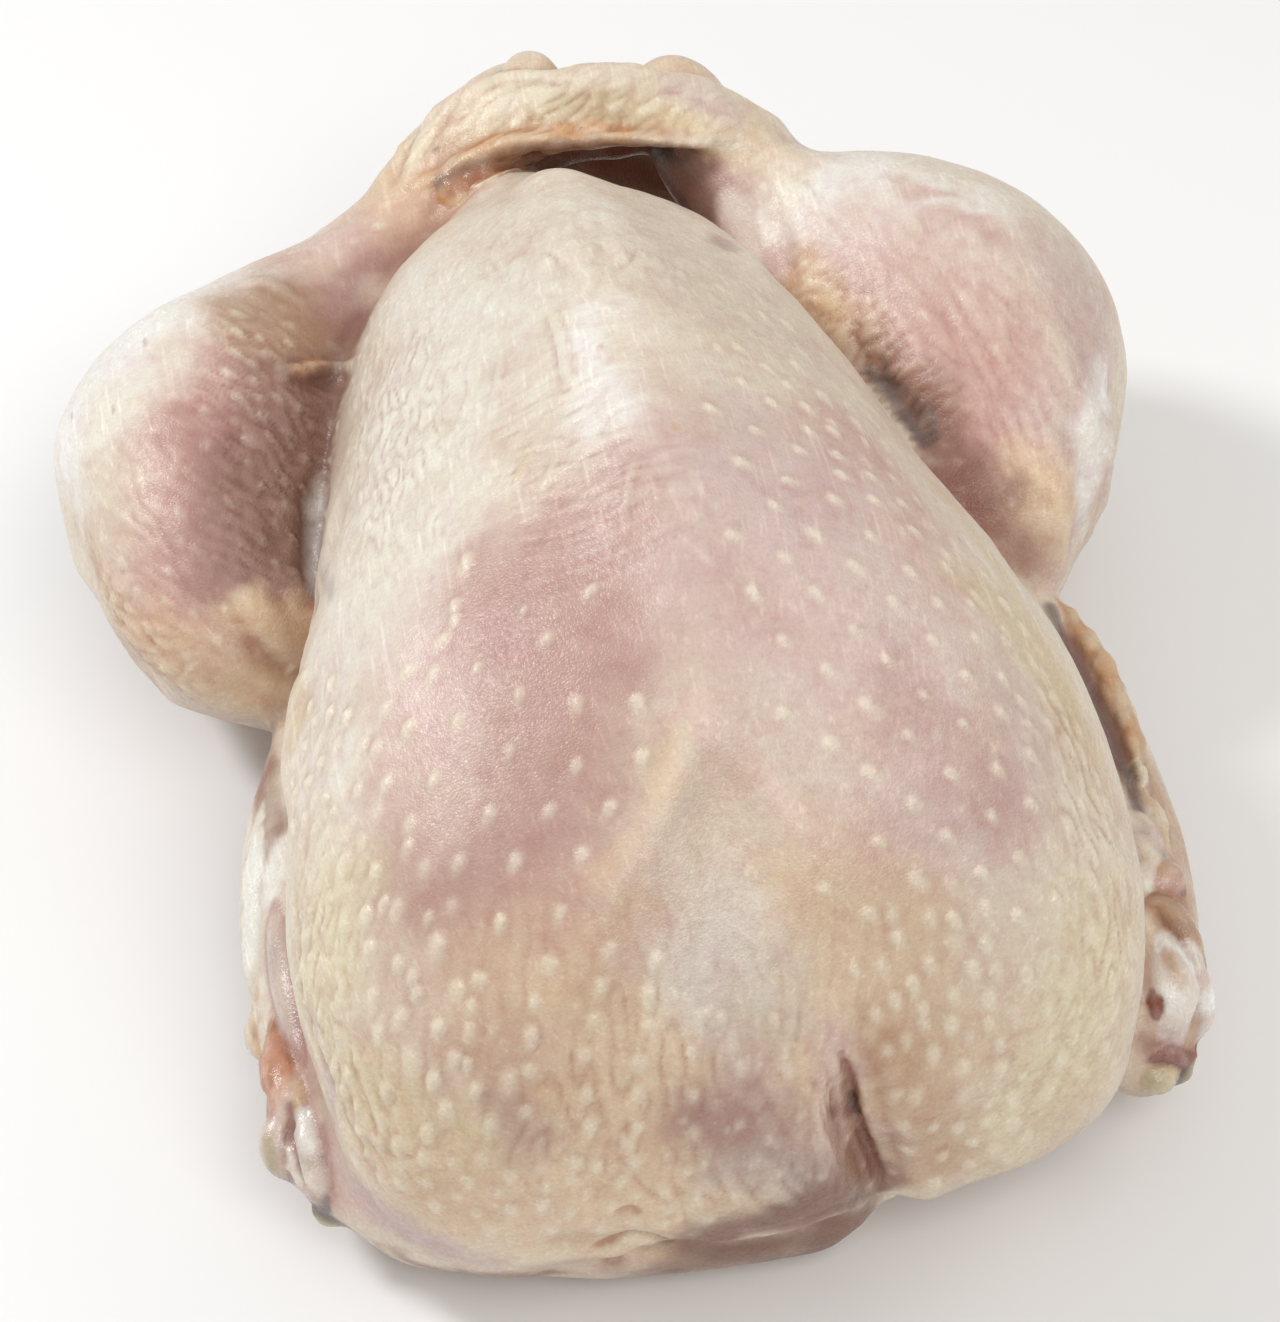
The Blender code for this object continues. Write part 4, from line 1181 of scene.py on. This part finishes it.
def tint_skin(skin, strands, pale, creased):
    """The colour of each point, with painted highlights and painted shade in it, and its wetness, written on the
    mesh as "tint" and "wet".
    """
    drift = sum(noises_over(skin.base, size, shifts) * TINT_DRIFT * part * MM
                for size, shifts, part in TINT_WANDER)
    colour = np.tile(linear(TONES["cream"]), (len(skin.base), 1))
    for tone, spots, reach, strength in TINTS.values():
        share = skin.closeness(spots, reach, drift) ** TINT_SOFTNESS * strength
        colour += (linear(TONES[tone]) - colour) * share[:, None]
    for size, shift, tone, depth in MOTTLING:
        share = np.clip(noise_over(skin.base, size, shift) * MOTTLING_EDGE, 0, 1) * depth
        colour += (colour * linear(TONES[tone]) / linear(TONES["cream"]) - colour) * share[:, None]
    colour += (linear(TONES["fat"]) - colour).clip(0) * (FOLLICLE_LIGHT * pale * lit_share(colour))[:, None]
    wetness = tint_strands(skin, strands, colour)
    relief = relief_of(skin)
    # Painted highlight on the peaks of the relief
    lit = PEAK_LIGHT * relief.clip(0, 1) * lit_share(colour)
    colour += (linear(TONES["fat"]) - colour).clip(0) * lit[:, None]
    # Painted shade in the creases of the relief and in the fine creases
    low = np.maximum(relief.clip(-1, 0) * -1, FINE_CREASE * creased)
    colour *= 1 - low[:, None] * np.array(CREASE_SHADE)
    # Painted shade on the underside, darker the more the skin faces down
    slope, start = UNDERSIDE_TURN
    under = np.clip(slope * skin.base_normals[:, 2] + start, 0, 1)
    colour *= 1 - under[:, None] * np.array(UNDERSIDE_SHADE)
    for tone, spots, reach, strength in MARKS.values():
        share = skin.closeness(spots, reach, 0) ** MARK_SOFTNESS * strength
        colour += (linear(TONES[tone]) - colour) * share[:, None]
    tint = skin.obj.data.attributes.new("tint", "FLOAT_COLOR", "POINT")
    rgba = np.column_stack([np.clip(colour, 0, 1), np.ones(len(colour))])
    tint.data.foreach_set("color", rgba.astype(np.float32).ravel())
    wet = skin.obj.data.attributes.new("wet", "FLOAT", "POINT")
    wet.data.foreach_set("value", wetness.astype(np.float32))


def add_node(tree, kind, inputs=(), **settings):
    """A shader node with its settings, and its inputs set to values or linked to sockets."""
    node = tree.nodes.new(kind)
    for key, value in settings.items():
        setattr(node, key, value)
    for key, value in dict(inputs).items():
        if isinstance(value, bpy.types.NodeSocket):
            tree.links.new(value, node.inputs[key])
        else:
            node.inputs[key].default_value = value
    return node


def skin_material():
    """The tint with fine grain and stretched streaks under a moist surface."""
    material = bpy.data.materials.new("raw skin")
    material.use_nodes = True
    tree = material.node_tree
    shader = tree.nodes["Principled BSDF"]
    place = add_node(tree, "ShaderNodeTexCoord").outputs["Object"]
    tint = add_node(tree, "ShaderNodeAttribute", attribute_name="tint").outputs["Color"]

    def speckle(scale, detail, vector=place):
        settings = {"Vector": vector, "Scale": scale, "Detail": detail, "Roughness": 0.6}
        return add_node(tree, "ShaderNodeTexNoise", settings).outputs["Fac"]

    def scaled(value, low, high, from_low=0.3, from_high=0.7):
        settings = {"Value": value, "From Min": from_low, "From Max": from_high, "To Min": low, "To Max": high}
        return add_node(tree, "ShaderNodeMapRange", settings).outputs["Result"]

    def worked(operation, *values):
        return add_node(tree, "ShaderNodeMath", dict(enumerate(values)), operation=operation).outputs[0]

    def multiplied(share, first, second):
        node = add_node(tree, "ShaderNodeMix", data_type="RGBA", blend_type="MULTIPLY")
        for socket, value in zip((node.inputs[0], node.inputs[6], node.inputs[7]), (share, first, second)):
            if isinstance(value, bpy.types.NodeSocket):
                tree.links.new(value, socket)
            else:
                socket.default_value = value
        return node.outputs[2]

    parts = add_node(tree, "ShaderNodeSeparateXYZ", {"Vector": place})
    sides = {"X": worked("ABSOLUTE", parts.outputs["X"]), "Y": parts.outputs["Y"], "Z": parts.outputs["Z"]}
    mirrored = add_node(tree, "ShaderNodeCombineXYZ", sides).outputs[0]
    drawing = {"Vector": mirrored, "Rotation": (0, 0, STREAK_ANGLE), "Scale": STREAKS}
    drawn = add_node(tree, "ShaderNodeMapping", drawing).outputs[0]
    streaks = speckle(1, 1, drawn)
    grain = speckle(GRAIN, 2)
    colour = multiplied(scaled(grain, *GRAIN_SPREAD), tint, GRAIN_SHADE)
    colour = multiplied(scaled(streaks, *STREAK_SPREAD), colour, STREAK_LIGHT)
    tree.links.new(colour, shader.inputs["Base Color"])
    wet = add_node(tree, "ShaderNodeAttribute", attribute_name="wet").outputs["Fac"]
    dry = worked("SUBTRACT", 1.0, scaled(wet, 0.0, WET_SHEEN, 0.0, 1.0))
    tree.links.new(worked("MULTIPLY", scaled(grain, *ROUGHNESS), dry), shader.inputs["Roughness"])
    pores = add_node(tree, "ShaderNodeTexVoronoi", {"Vector": place, "Scale": PORES}).outputs["Distance"]
    height = worked("SUBTRACT", worked("MULTIPLY", speckle(FINE_RELIEF, 1), FINE_HEIGHT), pores)
    relief = {"Height": height, "Strength": RELIEF_STRENGTH, "Distance": RELIEF_DISTANCE}
    bump = add_node(tree, "ShaderNodeBump", relief).outputs["Normal"]
    for socket in ("Normal", "Coat Normal"):
        tree.links.new(bump, shader.inputs[socket])
    for socket, value in (("Specular IOR Level", 0.5), ("Coat Weight", 0.22), ("Coat Roughness", 0.24)):
        shader.inputs[socket].default_value = value
    return material


def drop_specks(bm):
    """Take away the closed specks that the even skin leaves inside the flesh."""
    left = set(bm.verts)
    specks = []
    while left:
        part = [left.pop()]
        for point in part:
            for edge in point.link_edges:
                other = edge.other_vert(point)
                if other in left:
                    left.remove(other)
                    part.append(other)
        if len(part) < SPECK:
            specks += part
    bmesh.ops.delete(bm, geom=specks, context="VERTS")


def cut_away(bm, place, way):
    """Take away what lies beyond a plane, and close the cut."""
    way = Vector(way).normalized()
    geometry = bm.verts[:] + bm.edges[:] + bm.faces[:]
    bmesh.ops.bisect_plane(bm, geom=geometry, dist=CUT_REACH, plane_co=Vector(place) * MM, plane_no=way,
                           clear_outer=True)
    rim = [edge for edge in bm.edges if edge.is_boundary]
    filled = bmesh.ops.triangle_fill(bm, use_beauty=True, use_dissolve=False, edges=rim, normal=way)
    caps = [face for face in filled["geom"] if isinstance(face, bmesh.types.BMFace)]
    bmesh.ops.reverse_faces(bm, faces=[face for face in caps if face.normal.dot(way) < 0])


def cut_in_two(bm, plane):
    """Two closed pieces of one: what lies behind a plane, and what lies beyond it."""
    place, way = plane
    beyond = bm.copy()
    cut_away(bm, place, way)
    cut_away(beyond, place, [-share for share in way])
    return bm, beyond


def cut_skin(skin):
    """The skin as closed pieces of the bird, each with the way that its skin faces kept."""
    mesh = skin.obj.data
    facing = mesh.attributes.new("facing", "FLOAT_VECTOR", "POINT")
    facing.data.foreach_set("vector", skin.normals.astype(np.float32).ravel())
    whole = bmesh.new()
    whole.from_mesh(mesh)
    bpy.data.objects.remove(skin.obj)
    drop_specks(whole)
    rear, front = cut_in_two(whole, FRONT_CUT)
    rear, left_leg = cut_in_two(rear, LEFT_LEG_CUT)
    rear, right_leg = cut_in_two(rear, RIGHT_LEG_CUT)
    back, breast = cut_in_two(rear, LEVEL_CUT)
    breast, tail = cut_in_two(breast, TAIL_CUT)
    shoulders, crop = cut_in_two(front, LEVEL_CUT)
    return {"crop_and_neck": crop, "shoulders_and_wings": shoulders, "breast": breast, "tail_and_cavity": tail,
            "back": back, "left_leg": left_leg, "right_leg": right_leg}


def finish_piece(name, bm, material):
    obj = mesh_object(name, bm)
    facing = obj.data.attributes["facing"]
    ways = numbers_of(facing.data, "vector")
    ways /= np.linalg.norm(ways, axis=1)[:, None]
    obj.data.attributes.remove(facing)
    obj.data.shade_smooth()
    obj.data.normals_split_custom_set_from_vertices(ways.tolist())
    obj.data.materials.append(material)
    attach(obj, BODY)
    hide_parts(NODE)


def main():
    make_camera()
    make_stage()
    chance = random.Random(SEED)
    skin, strands = grow_skin()
    shape_flesh(skin)
    # How deep each point lies in a crease, which the tint darkens as painted shade
    creased = np.maximum(crumple(skin), crease(skin, chance))
    follicles = Follicles(skin)
    raise_rows(follicles, chance)
    raise_goose_skin(follicles, chance)
    skin.raise_by(follicles.lift)
    for pixels, width, height in WRINKLES.values():
        skin.raise_by(height * skin.closeness(pixels, width))
    tint_skin(skin, strands, follicles.pale, creased)
    material = skin_material()
    for name, piece in cut_skin(skin).items():
        finish_piece(name, piece, material)


main()
